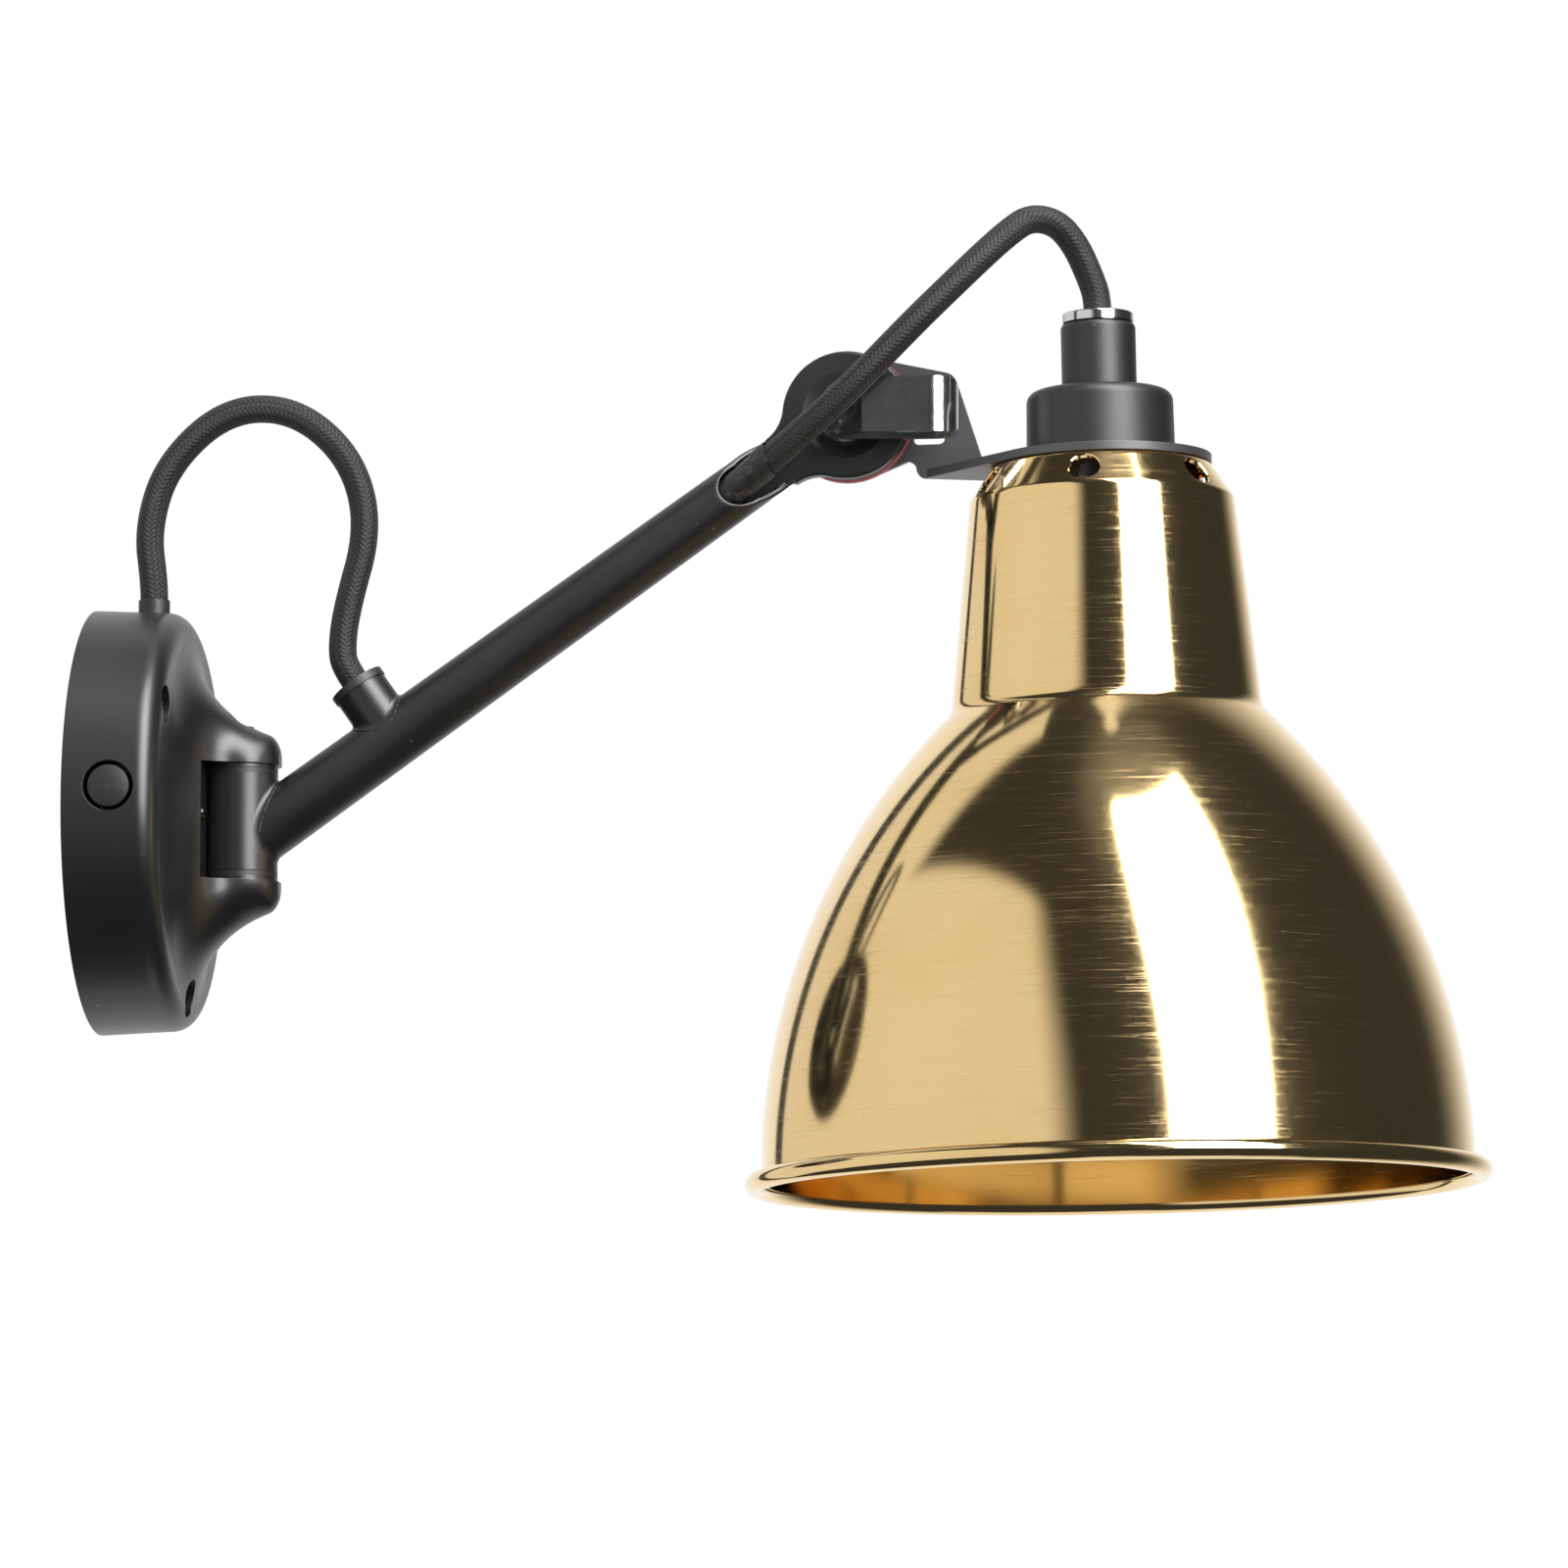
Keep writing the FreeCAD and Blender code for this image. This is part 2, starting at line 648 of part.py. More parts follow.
def eye_neck():
    """The neck between the round tube and the flat eye, and its tongue in the bore."""
    r = arm_end_d / 2
    half_angle = (asin(eye_front / r) + asin(eye_back / r)) / 2
    round_end = neck_section(arm_tube_len, sqrt(r ** 2 - eye_front ** 2), sqrt(r ** 2 - eye_back ** 2),
                             r * sin(half_angle), r * cos(half_angle))
    flat_end = neck_section(eye_start, r - eye_edge / 2, r - eye_edge / 2, eye_back - eye_t / 2, r)
    neck = Part.makeLoft([round_end, flat_end], True, True)
    first = arm_tube_len - tongue_len
    bore = cylinder(arm_bore_d - 2 * run_gap, tongue_len, V(first, 0, 0), X)
    slab = Part.makeBox(tongue_len, eye_t, arm_bore_d, V(first, eye_front, -arm_bore_d / 2))
    return neck.fuse(bore.common(slab))


def arm_eye():
    eye = eye_plate().fuse(eye_neck())
    dish = Part.makeCone(dish_d / 2, dish_floor_d / 2, dish_depth, V(arm_len, eye_front, 0), Y)
    hole = cylinder(pivot_bolt_d + 4 * run_gap, 2 * eye_t, V(arm_len, eye_front - eye_t / 2, 0), Y)
    return on_arm(eye.cut([dish, hole]).removeSplitter())


def heat_shrink():
    length = shrink_end - shrink_start
    return on_arm(ring(shrink_d, cord_d + 2 * run_gap, length, exit_point(shrink_start), exit_axis()))


def arm_cord():
    """The cord inside the arm, from the boss to the end of the heat-shrink sleeve."""
    tip = exit_point(shrink_end)
    points = [arm_point(boss_at, 0, boss_h + boss_ring_h), arm_point(boss_at, 0, 0),
              arm_point(exit_at, 0, 0), arm_point(tip.x, tip.y, tip.z)]
    return cord_tube("arm_cord", points, cord_d)


def base_loop_cord():
    mouth = boss_h + boss_ring_h
    points = [outlet_top(), outlet_top() + Z * cord_lead] + [V(*p) for p in loop_route]
    points += [arm_point(boss_at, 0, mouth + cord_lead), arm_point(boss_at, 0, mouth)]
    return cord_tube("base_loop_cord", points, cord_d)


def head_cord():
    tip, ahead = exit_point(shrink_end), exit_point(shrink_end + exit_lead)
    points = [arm_point(tip.x, tip.y, tip.z), arm_point(ahead.x, ahead.y, ahead.z)]
    points += [pivot + V(*p) for p in head_route]
    points += [leaned_point(V(axis_x, 0, holder_top + rise)) for rise in (cord_lead, 0)]
    return cord_tube("head_cord", points, cord_d)


def at_pivot(along, out, above):
    """A point beside the pivot: along +X, at depth out on the Y axis, above in Z."""
    return V(pivot.x + along, out, pivot.z + above)


def clamp_washer():
    place = at_pivot(0, eye_front + dish_depth, 0)
    return ring(clamp_washer_d, pivot_bolt_d + 2 * run_gap, clamp_washer_t, place, -Y)


def lever_loop():
    """The folded strip seen from above: back leaf, round bend and a front leaf with a step."""
    outer_r = lever_bend_r + lever_t
    centre = V(lever_reach - outer_r, lever_near - outer_r, 0)
    low = lever_near - 2 * outer_r
    step_turn = atan2(lever_front - low, lever_step)

    def leaf(offset):
        shift = V(offset * tan(step_turn / 2), offset, 0)
        return [V(-lever_tail, lever_near - offset, 0), V(centre.x, lever_near - offset, 0),
                centre + X * (outer_r - offset), V(centre.x, low + offset, 0),
                V(lever_flat + lever_step, low, 0) + shift, V(lever_flat, lever_front, 0) + shift,
                V(-lever_tail, lever_front + offset, 0)]

    a, b = leaf(0.0), leaf(lever_t)
    edges = [edge(a[0], b[0]), edge(a[6], b[6])]
    for p in (a, b):
        edges += [edge(p[0], p[1]), edge(p[1], p[2], p[3])]
        edges += [edge(p[i], p[i + 1]) for i in (3, 4, 5)]
    return face(*edges)


def rounded_strip(left, right, half, left_r, right_r):
    """A flat strip in the XZ plane with round corners, wider than tall."""
    k = 1 - sin(pi / 4)
    edges = []
    for side in (1, -1):
        top = side * half
        edges.append(edge(V(left + left_r, 0, top), V(right - right_r, 0, top)))
        edges.append(edge(V(left, 0, top - side * left_r), V(left + k * left_r, 0, top - side * k * left_r),
                          V(left + left_r, 0, top)))
        edges.append(edge(V(right - right_r, 0, top), V(right - k * right_r, 0, top - side * k * right_r),
                          V(right, 0, top - side * right_r)))
    edges.append(edge(V(left, 0, half - left_r), V(left, 0, left_r - half)))
    edges.append(edge(V(right, 0, half - right_r), V(right, 0, right_r - half)))
    return face(*edges)


def clamp_lever():
    loop = lever_loop().extrude(Z * lever_w)
    loop.translate(V(0, 0, -lever_w / 2))
    depth = 4 * lever_w
    outline = rounded_strip(-lever_tail, lever_reach, lever_w / 2, lever_end_r, lever_corner_r)
    trim = outline.extrude(Y * depth)
    trim.translate(V(0, -depth / 2, 0))
    lever = loop.common(trim)
    lever = lever.cut(cylinder(pivot_bolt_d + 2 * run_gap, depth, V(0, -depth / 2, 0), Y))
    lever.translate(V(pivot.x, 0, pivot.z))
    return lever.removeSplitter()


def clamp_nut():
    place = at_pivot(0, lever_near - lever_t, 0)
    return ring(clamp_nut_d, pivot_bolt_d + 2 * run_gap, clamp_nut_h, place, -Y)


def friction_washer():
    place = at_pivot(0, eye_back + face_gap, 0)
    return ring(friction_d, pivot_bolt_d + 2 * run_gap, friction_t, place, Y)


def pivot_bolt():
    back = at_pivot(0, plate_far, 0)
    head = rounded_rod(bolt_head_d, bolt_head_h, bolt_head_h / 3, back, Y)
    shank = cylinder(pivot_bolt_d, plate_far - lever_front, back, -Y)
    bolt = head.fuse(shank).removeSplitter()
    return slotted(bolt, bolt_slot, bolt_slot, back + Y * bolt_head_h, Y, X, 2 * bolt_head_d)


def bracket_plate():
    """The upright plate: a disc round the pivot that runs out to a foot over the flange."""
    r = eye_d / 2
    low = -flange_drop
    top, foot = V(plate_top_reach, 0, plate_top_rise), V(plate_foot_reach, 0, low)
    touch_angle = atan2(top.z, top.x) + pi / 2 - asin(r / top.Length)
    touch = V(r * cos(touch_angle), 0, r * sin(touch_angle))
    along, down = touch - top, foot - top
    along.normalize()
    down.normalize()
    half_turn = along.getAngle(down) / 2
    middle = along + down
    middle.normalize()
    corner = top + middle * (plate_corner_r / sin(half_turn) - plate_corner_r)
    reach = plate_corner_r / tan(half_turn)
    notch = V(notch_reach, 0, -notch_drop)
    under = V(r * cos(radians(under_angle)), 0, r * sin(radians(under_angle)))
    bend = V((notch_reach + flange_tip) / 2, 0, (low - notch_drop) / 2)
    bulge = V(notch_bulge, 0, notch_bulge)
    arc_out = (notch + bend) / 2 + bulge
    arc_in = (bend + V(flange_tip, 0, low)) / 2 - bulge
    outline = face(
        edge(touch, V(-r, 0, 0), under), edge(under, notch),
        edge(notch, arc_out, bend), edge(bend, arc_in, V(flange_tip, 0, low)),
        edge(V(flange_tip, 0, low), foot), edge(foot, top + down * reach),
        edge(top + down * reach, corner, top + along * reach), edge(top + along * reach, touch))
    plate = outline.extrude(Y * bracket_t)
    window_half = (window_high - window_low) / 2
    window = rounded_strip(window_left, window_right, window_half, window_r, window_r).extrude(Y * bracket_t)
    window.translate(V(0, 0, window_low + window_half))
    plate = plate.cut([window, cylinder(pivot_bolt_d + 2 * run_gap, bracket_t, ORIGIN, Y)])
    plate.translate(V(pivot.x, plate_near, pivot.z))
    return plate


def bracket_flange():
    """The flat flange: a ring under the lamp holder, drawn out to a tip under the plate."""
    tip_r, ring_r = bracket_t / 2, flange_ring_d / 2
    tip = V(pivot.x + flange_tip + tip_r, plate_mid, flange_low)
    centre = V(axis_x, 0, flange_low)
    span = centre - tip
    heading = atan2(span.y, span.x)
    spread = asin((ring_r - tip_r) / span.Length)
    edges, touches = [], []
    for side in (1, -1):
        angle = heading + side * (pi / 2 + spread)
        normal = V(cos(angle), sin(angle), 0)
        touches.append((tip + normal * tip_r, centre + normal * ring_r))
        edges.append(edge(*touches[-1]))
    ahead = V(cos(heading), sin(heading), 0)
    edges.append(edge(touches[0][0], tip - ahead * tip_r, touches[1][0]))
    edges.append(edge(touches[0][1], centre + ahead * ring_r, touches[1][1]))
    return face(*edges).extrude(Z * flange_t)


def bracket():
    hole = cylinder(2 * socket_hole_r, 3 * flange_t, V(axis_x, 0, flange_low - flange_t), Z)
    return leaned(bracket_plate().fuse(bracket_flange()).cut(hole).removeSplitter())


def holder_cup():
    low, top, r = cup_d / 2, cup_top_d / 2, socket_hole_r
    knee = cup_edge_r * (1 - sin(pi / 4))
    roof = cup_h - cup_top_t
    profile = face(
        edge(V(r, 0, 0), V(low, 0, 0)),
        edge(V(low, 0, 0), V(top, 0, cup_h - cup_edge_r)),
        edge(V(top, 0, cup_h - cup_edge_r), V(top - knee, 0, cup_h - knee), V(top - cup_edge_r, 0, cup_h)),
        edge(V(top - cup_edge_r, 0, cup_h), V(spigot_d / 2 + run_gap, 0, cup_h)),
        edge(V(spigot_d / 2 + run_gap, 0, cup_h), V(spigot_d / 2 + run_gap, 0, roof)),
        edge(V(spigot_d / 2 + run_gap, 0, roof), V(r, 0, roof)),
        edge(V(r, 0, roof), V(r, 0, 0)))
    return leaned(turned(profile, V(axis_x, 0, flange_top), Z))


def holder_neck():
    place = V(axis_x, 0, cup_top)
    neck = rounded_rod(neck_d, neck_h, neck_edge_r, place, Z)
    neck = neck.fuse(cylinder(spigot_d, spigot_h, place, -Z))
    bore = cylinder(cord_d + 2 * run_gap, 2 * neck_h + spigot_h, place - Z * neck_h, Z)
    return leaned(neck.cut(bore).removeSplitter())


def cord_grip_ring():
    place = V(axis_x, 0, neck_top)
    grip = rounded_rod(grip_ring_d, grip_ring_h, grip_ring_edge, place, Z)
    return leaned(grip.cut(cylinder(cord_d + 2 * run_gap, grip_ring_h, place, Z)))


def holder_cord():
    """The end of the cord inside the neck of the lamp holder."""
    return leaned(cylinder(cord_d, holder_top - socket_top, V(axis_x, 0, socket_top), Z))


def lamp_socket():
    place = V(axis_x, 0, socket_low)
    body = cylinder(socket_d, socket_len, place, Z)
    return leaned(body.cut(cylinder(socket_bore_d + 2 * run_gap, socket_bore_len, place, Z)))


def socket_shell():
    place = V(axis_x, 0, socket_low + shell_inset)
    return leaned(ring(socket_bore_d, shell_bore_d, shell_len, place, Z))


def centre_contact():
    place = V(axis_x, 0, socket_low + socket_bore_len)
    return leaned(rounded_rod(contact_d, contact_h, contact_h / 2, place, -Z))


def shade_nut():
    place = V(axis_x, 0, flange_low - shade_t - shade_nut_h)
    nut = rounded_rod(shade_nut_d, shade_nut_h, shade_nut_h / 4, place + Z * shade_nut_h, -Z)
    return leaned(nut.cut(cylinder(socket_d + 2 * run_gap, shade_nut_h, place, Z)))


def shoulder_out():
    """The direction square to the slanted shoulder, drawn in the XZ plane."""
    slope = V(shade_shoulder_h, 0, (shade_neck_top_d - shade_top_d) / 2)
    slope.normalize()
    return slope


def corner_centre(corner, before, after, radius):
    """The middle of a round that joins two lines with the given outward directions."""
    return corner - (before + after) * (radius / (1 + before.dot(after)))


def shade_wall():
    """The spun wall of the shade, turned about its axis, without the bead."""
    shoulder = shoulder_out()
    crease = V(shade_neck_top_d / 2, 0, -shade_shoulder_h)
    neck_end = V(shade_neck_low_d / 2, 0, -shade_shoulder_h - shade_neck_len)
    down = neck_end - crease
    down.normalize()
    out = V(-down.z, 0, down.x)
    top_round = corner_centre(V(shade_top_d / 2, 0, 0), Z, shoulder, shade_top_r)
    crease_round = corner_centre(crease, shoulder, out, shade_crease_r)
    dome = V(shade_mouth_d / 2 - shade_dome_r, 0, -shade_h)
    start = crease + out * shade_fillet_r - dome
    far = shade_dome_r + shade_fillet_r
    half = start.dot(down)
    run = -half - sqrt(half ** 2 - start.Length ** 2 + far ** 2)
    if run < 0:
        run = -half + sqrt(half ** 2 - start.Length ** 2 + far ** 2)
    fillet = crease + out * shade_fillet_r + down * run
    to_dome = dome - fillet
    to_dome.normalize()

    def between(first, last):
        middle = first + last
        middle.normalize()
        return middle

    def outline(inset):
        """The outside of the wall, or its inside when inset by the thickness."""
        bend, turn = shade_top_r - inset, shade_crease_r - inset
        reach, dome_r = shade_fillet_r + inset, shade_dome_r - inset
        a = [V(socket_hole_r, 0, -inset), top_round + Z * bend]
        b = [a[1], top_round + between(Z, shoulder) * bend, top_round + shoulder * bend]
        c = [b[2], crease_round + shoulder * turn]
        d = [c[1], crease_round + between(shoulder, out) * turn, crease_round + out * turn]
        e = [d[2], fillet - out * reach]
        f = [e[1], fillet + between(to_dome, -out) * reach, fillet + to_dome * reach]
        g = [f[2], dome + between(-to_dome, X) * dome_r, dome + X * dome_r]
        return [a, b, c, d, e, f, g]

    outside, inside = outline(0.0), outline(shade_t)
    runs = outside + inside + [[outside[-1][-1], inside[-1][-1]], [outside[0][0], inside[0][0]]]
    return turned(face(*[edge(*run) for run in runs]), V(axis_x, 0, flange_low), Z)


def vent_holes():
    """Round holes drilled square through the slanted shoulder of the shade."""
    shoulder = shoulder_out()
    reach = shade_neck_top_d / 2 - shoulder.z * vent_rise
    height = shoulder.x * vent_rise - shade_shoulder_h
    for i in range(vent_count):
        angle = radians(vent_first_angle + 360 * i / vent_count)
        out = V(sin(angle), -cos(angle), 0)
        drill = out * shoulder.x + Z * shoulder.z
        centre = V(axis_x, 0, flange_low + height) + out * reach
        yield cylinder(vent_d, vent_d, centre - drill * vent_d / 2, drill)


def shade():
    bead_r = bead_d / 2
    mid_r = shade_mouth_d / 2 - shade_t / 2 + bead_r * bead_out
    bead = Part.makeTorus(mid_r, bead_r, V(axis_x, 0, bead_z), Z)
    return leaned(shade_wall().cut(list(vent_holes())).fuse(bead).removeSplitter())


NODES = [
    wall_base, hinge_pin, hinge_washers, hinge_set_screw, push_button, switch_body, terminal_block,
    terminal_screws, block_screw, outlet_sleeve, feed_cord, base_loop_cord, arm_knuckle, arm_tube,
    cord_boss, boss_ring, arm_eye, arm_cord, heat_shrink, clamp_washer, clamp_lever, clamp_nut,
    friction_washer, pivot_bolt, bracket, holder_cup, holder_neck, cord_grip_ring, holder_cord,
    lamp_socket, socket_shell, centre_contact, shade_nut, shade, head_cord]

os.makedirs("parts", exist_ok=True)
for make in NODES:
    make().exportStep("parts/%s.step" % make.__name__)
print("pivot", pivot, "lamp axis", leaned_point(V(axis_x, 0, flange_low)), "mouth of socket",
      leaned_point(V(axis_x, 0, socket_low)))
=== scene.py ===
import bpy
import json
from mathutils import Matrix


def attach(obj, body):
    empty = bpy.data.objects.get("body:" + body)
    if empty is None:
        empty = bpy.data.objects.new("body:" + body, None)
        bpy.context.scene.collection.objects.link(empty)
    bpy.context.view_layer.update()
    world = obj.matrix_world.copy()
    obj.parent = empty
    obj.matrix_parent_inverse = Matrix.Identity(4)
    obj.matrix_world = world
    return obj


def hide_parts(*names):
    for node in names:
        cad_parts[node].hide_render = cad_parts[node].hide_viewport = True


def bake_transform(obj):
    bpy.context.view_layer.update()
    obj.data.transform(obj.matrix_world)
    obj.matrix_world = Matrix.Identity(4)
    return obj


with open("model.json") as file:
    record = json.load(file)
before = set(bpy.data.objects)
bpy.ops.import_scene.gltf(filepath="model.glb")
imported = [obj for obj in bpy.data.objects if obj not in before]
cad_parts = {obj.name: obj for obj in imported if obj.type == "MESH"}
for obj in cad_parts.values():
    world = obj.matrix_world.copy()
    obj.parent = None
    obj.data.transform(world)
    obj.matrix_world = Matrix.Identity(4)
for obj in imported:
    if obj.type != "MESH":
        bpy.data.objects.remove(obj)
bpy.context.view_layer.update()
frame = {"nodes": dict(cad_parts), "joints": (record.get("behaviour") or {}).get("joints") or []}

import json
import math

import bpy
import numpy as np
from bpy.props import FloatProperty, FloatVectorProperty, IntProperty, PointerProperty
from mathutils import Matrix

bl_info = {
    "name": "Swing Arm Wall Lamp",
    "version": (1, 0, 0),
    "blender": (4, 5, 0),
    "location": "View3D > Sidebar > Wall Lamp",
    "description": "Finishes, cords, spun shade and studio of a swing arm wall lamp",
    "category": "Object",
}

NODES = frame["nodes"]
JOINTS = {joint["name"]: joint for joint in frame["joints"]}
PIVOT, HINGE = (np.array(JOINTS[name]["pos_m"]) for name in ("head_tilt", "arm_swing"))

# The arm's own directions: along it, and square to it in the upright plane
ARM_ROOT = np.array([0.0341, 0.0, 0.0])
ARM_SLOPE = math.radians(35.2)
ARM_ALONG = np.array([math.cos(ARM_SLOPE), 0.0, math.sin(ARM_SLOPE)])
ARM_UP = np.array([-math.sin(ARM_SLOPE), 0.0, math.cos(ARM_SLOPE)])
ACROSS, UPRIGHT = np.array([0.0, 1.0, 0.0]), np.array([0.0, 0.0, 1.0])

# The arm's diameter at its root and at the end of its tube, and the length between them
ROOT_DIAMETER, TIP_DIAMETER, TUBE_LENGTH = 0.0119, 0.0103, 0.116

# Places along the arm: the boss that takes the cord in, where the cord's way turns out of the arm, and where
# the slanted cut of the scoop begins
BOSS_PLACE, WAY_TURN, CUT_START = 0.0274, 0.103, 0.104

# The cord leaves the arm at this angle to it, towards the front
CORD_TURN = math.radians(25.0)

# How far a weld or a lip sinks into the wall under it, and how near two points of a piece are that are joined
SINK, WELD_GAP = 0.00002, 1e-6

# The head leans back by this angle, the shade hangs on an axis beyond the pivot, and the studio's cards stand
# round a point in the shade
HEAD_LEAN = math.radians(1.1)
SHADE_TOP = PIVOT + [0.0485, 0.0, -0.012]
CARD_CENTRE = SHADE_TOP + [0.0, 0.0, -0.06]


def on_arm(along, across, up):
    """A place given along the arm, across it and square above it."""
    along, across, up = (np.asarray(value, float)[..., None] for value in (along, across, up))
    return ARM_ROOT + along * ARM_ALONG + across * ACROSS + up * ARM_UP


def leaned(points):
    """Points of the upright head, turned about the pivot by the lean of the head."""
    c, s = math.cos(HEAD_LEAN), math.sin(HEAD_LEAN)
    x, y, z = np.moveaxis(np.asarray(points, float) - PIVOT, -1, 0)
    return np.stack([c * x - s * z, y, s * x + c * z], axis=-1) + PIVOT


# The centre and the turn of the shade's axis
SHADE_AXIS = leaned(SHADE_TOP), (0.0, -HEAD_LEAN, 0.0)


def metres(name, default, description):
    """A setting that is a length."""
    return FloatProperty(name=name, description=description, default=default, unit="LENGTH")


def portion(name, default, description):
    """A setting that is a share of one."""
    return FloatProperty(name=name, description=description, default=default, subtype="FACTOR")


def degrees(name, default, description):
    """A setting that is an angle, with its default in degrees."""
    return FloatProperty(name=name, description=description, default=math.radians(default), subtype="ANGLE")


def tint(name, default, description):
    """A setting that is a colour."""
    return FloatVectorProperty(name=name, description=description, default=default, subtype="COLOR")


class CordSettings(bpy.types.PropertyGroup):
    """Sizes and colours of the braided cord"""
    diameter: metres("Diameter", 0.0054, "Outside diameter of the braided cord")
    core_swell: portion("Core swell", 0.035, "Height of the cores under the braid, as a share of the radius")
    core_twist: metres("Core twist", 0.19, "Length in which the cores turn round once")
    stitch: metres("Stitch", 0.00046, "Length of one stitch of the braid along the cord")
    carriers: IntProperty(name="Carriers", description="Threads of each hand round the cord", default=12)
    thread_colour: tint("Thread colour", (0.016, 0.016, 0.0165), "Colour of the braid's threads")
    gap_colour: tint("Gap colour", (0.0055, 0.0055, 0.006), "Colour between the threads")


class ShadeSettings(bpy.types.PropertyGroup):
    """Sizes and colours of the spun brass shade"""
    thickness: metres("Thickness", 0.0009, "Thickness of the spun wall")
    opening: metres("Opening", 0.0123, "Radius of the hole for the socket")
    top_radius: metres("Top radius", 0.0206, "Radius of the corner between the flat top and the shoulder")
    top_round: metres("Top round", 0.0014, "Radius of the round at that corner")
    shoulder: metres("Shoulder", 0.0066, "Height of the slanted shoulder")
    crease_round: metres("Crease round", 0.0020, "Radius of the round below the shoulder")
    neck_radius: metres("Neck radius", 0.025, "Radius where the shoulder meets the neck")
    neck_end: metres("Neck end", 0.0289, "Radius towards which the neck widens")
    neck_length: metres("Neck length", 0.0362, "Height over which the neck widens")
    hollow: metres("Hollow", 0.004, "Radius of the hollow between neck and dome")
    dome_radius: metres("Dome radius", 0.122, "Radius of the dome's curve")
    mouth_radius: metres("Mouth radius", 0.0669, "Outside radius of the wall at the mouth")
    height: metres("Height", 0.135, "From the flat top to the middle of the bead")
    bead: metres("Bead", 0.0019, "Radius of the rolled bead")
    vent: metres("Vent", 0.0031, "Radius of a vent hole")
    vents: IntProperty(name="Vents", description="Number of vent holes", default=6)
    vent_first: degrees("First vent", -4.0, "Angle of the first vent from the front")
    vent_rise: metres("Vent rise", 0.0039, "Middle of a vent, up the shoulder from the crease")
    broken: metres("Broken edge", 0.00022, "How far a vent's outer edge is broken")
    brass: tint("Brass", (0.87, 0.645, 0.320), "Colour of the polished brass")
    warm_brass: tint("Warm brass", (0.82, 0.57, 0.250), "Colour of the brass where it has begun to tan")
    roughness: portion("Roughness", 0.085, "Roughness of the polish")


class CoatSettings(bpy.types.PropertyGroup):
    """Colours of the coats and of the bare metals"""
    black: tint("Black coat", (0.0066, 0.0088, 0.0122), "Colour of the satin coat")
    black_pale: tint("Pale black", (0.0096, 0.0122, 0.0162), "Colour of the satin coat where it is thinner")
    roughness: portion("Coat roughness", 0.36, "Roughness of the satin coat")
    holder: tint("Holder coat", (0.0125, 0.0127, 0.0140), "Colour of the matt coat of the lamp holder")
    # The bracket's coat is the same black, painted paler grey to stand for the strip light it mirrors: a
    # painted reflection
    bracket: tint("Bracket coat", (0.070, 0.071, 0.076), "Colour of the thinner coat of the bracket")
    chrome: tint("Chrome", (0.70, 0.71, 0.73), "Colour of the chromed parts")
    steel: tint("Steel", (0.46, 0.46, 0.47), "Colour of the plain steel parts")
    fibre: tint("Red fibre", (0.70, 0.20, 0.215), "Colour of the friction washer")


class StudioSettings(bpy.types.PropertyGroup):
    """Camera, floor and light of the studio"""
    camera: FloatVectorProperty(name="Camera", description="Place of the camera",
                                default=(0.3129, -1.6468, -0.1926), subtype="TRANSLATION")
    azimuth: degrees("Azimuth", 6.3, "How far the camera looks towards the wall")
    pitch: degrees("Pitch", 6.83, "How far the camera looks up")
    lens: FloatProperty(name="Lens", description="Focal length of the lens", default=202.5, unit="CAMERA")
    floor: metres("Floor", -0.42, "Height of the floor")
    ambient: FloatProperty(name="Ambient", description="Strength of the light from all around", default=0.42)
    key: FloatProperty(name="Key", description="Power of the key light", default=15.0, unit="POWER")
    strip: FloatProperty(name="Strip", description="Brightness of the mirrored strip light", default=14.0)


class Value:
    """A socket's value, so that shader maths is written as Python expressions."""

    def __init__(self, finish, socket):
        self.finish, self.socket = finish, socket

    def other(self, name):
        """Another output of the same node."""
        return Value(self.finish, self.socket.node.outputs[name])

    def maths(self, operation, *values):
        return self.finish.node("ShaderNodeMath", {"operation": operation}, dict(enumerate(values)))

    def __add__(self, value):
        return self.maths("ADD", self, value)

    def __sub__(self, value):
        return self.maths("SUBTRACT", self, value)

    def __rsub__(self, value):
        return self.maths("SUBTRACT", value, self)

    def __mul__(self, value):
        return self.maths("MULTIPLY", self, value)

    __radd__, __rmul__ = __add__, __mul__

    def fraction(self):
        return self.maths("FRACT", self)

    def whole(self):
        return self.maths("FLOOR", self)

    def above(self, value):
        return self.maths("GREATER_THAN", self, value)

    def most(self, value):
        return self.maths("MAXIMUM", self, value)

    def sine(self):
        return self.maths("SINE", self)

    def root(self):
        return self.maths("SQRT", self)

    def step(self, low, high):
        """Rises smoothly from 0 at low to 1 at high."""
        return self.finish.node(
            "ShaderNodeMapRange", {"interpolation_type": "SMOOTHSTEP"},
            {"Value": self, "From Min": low, "From Max": high})


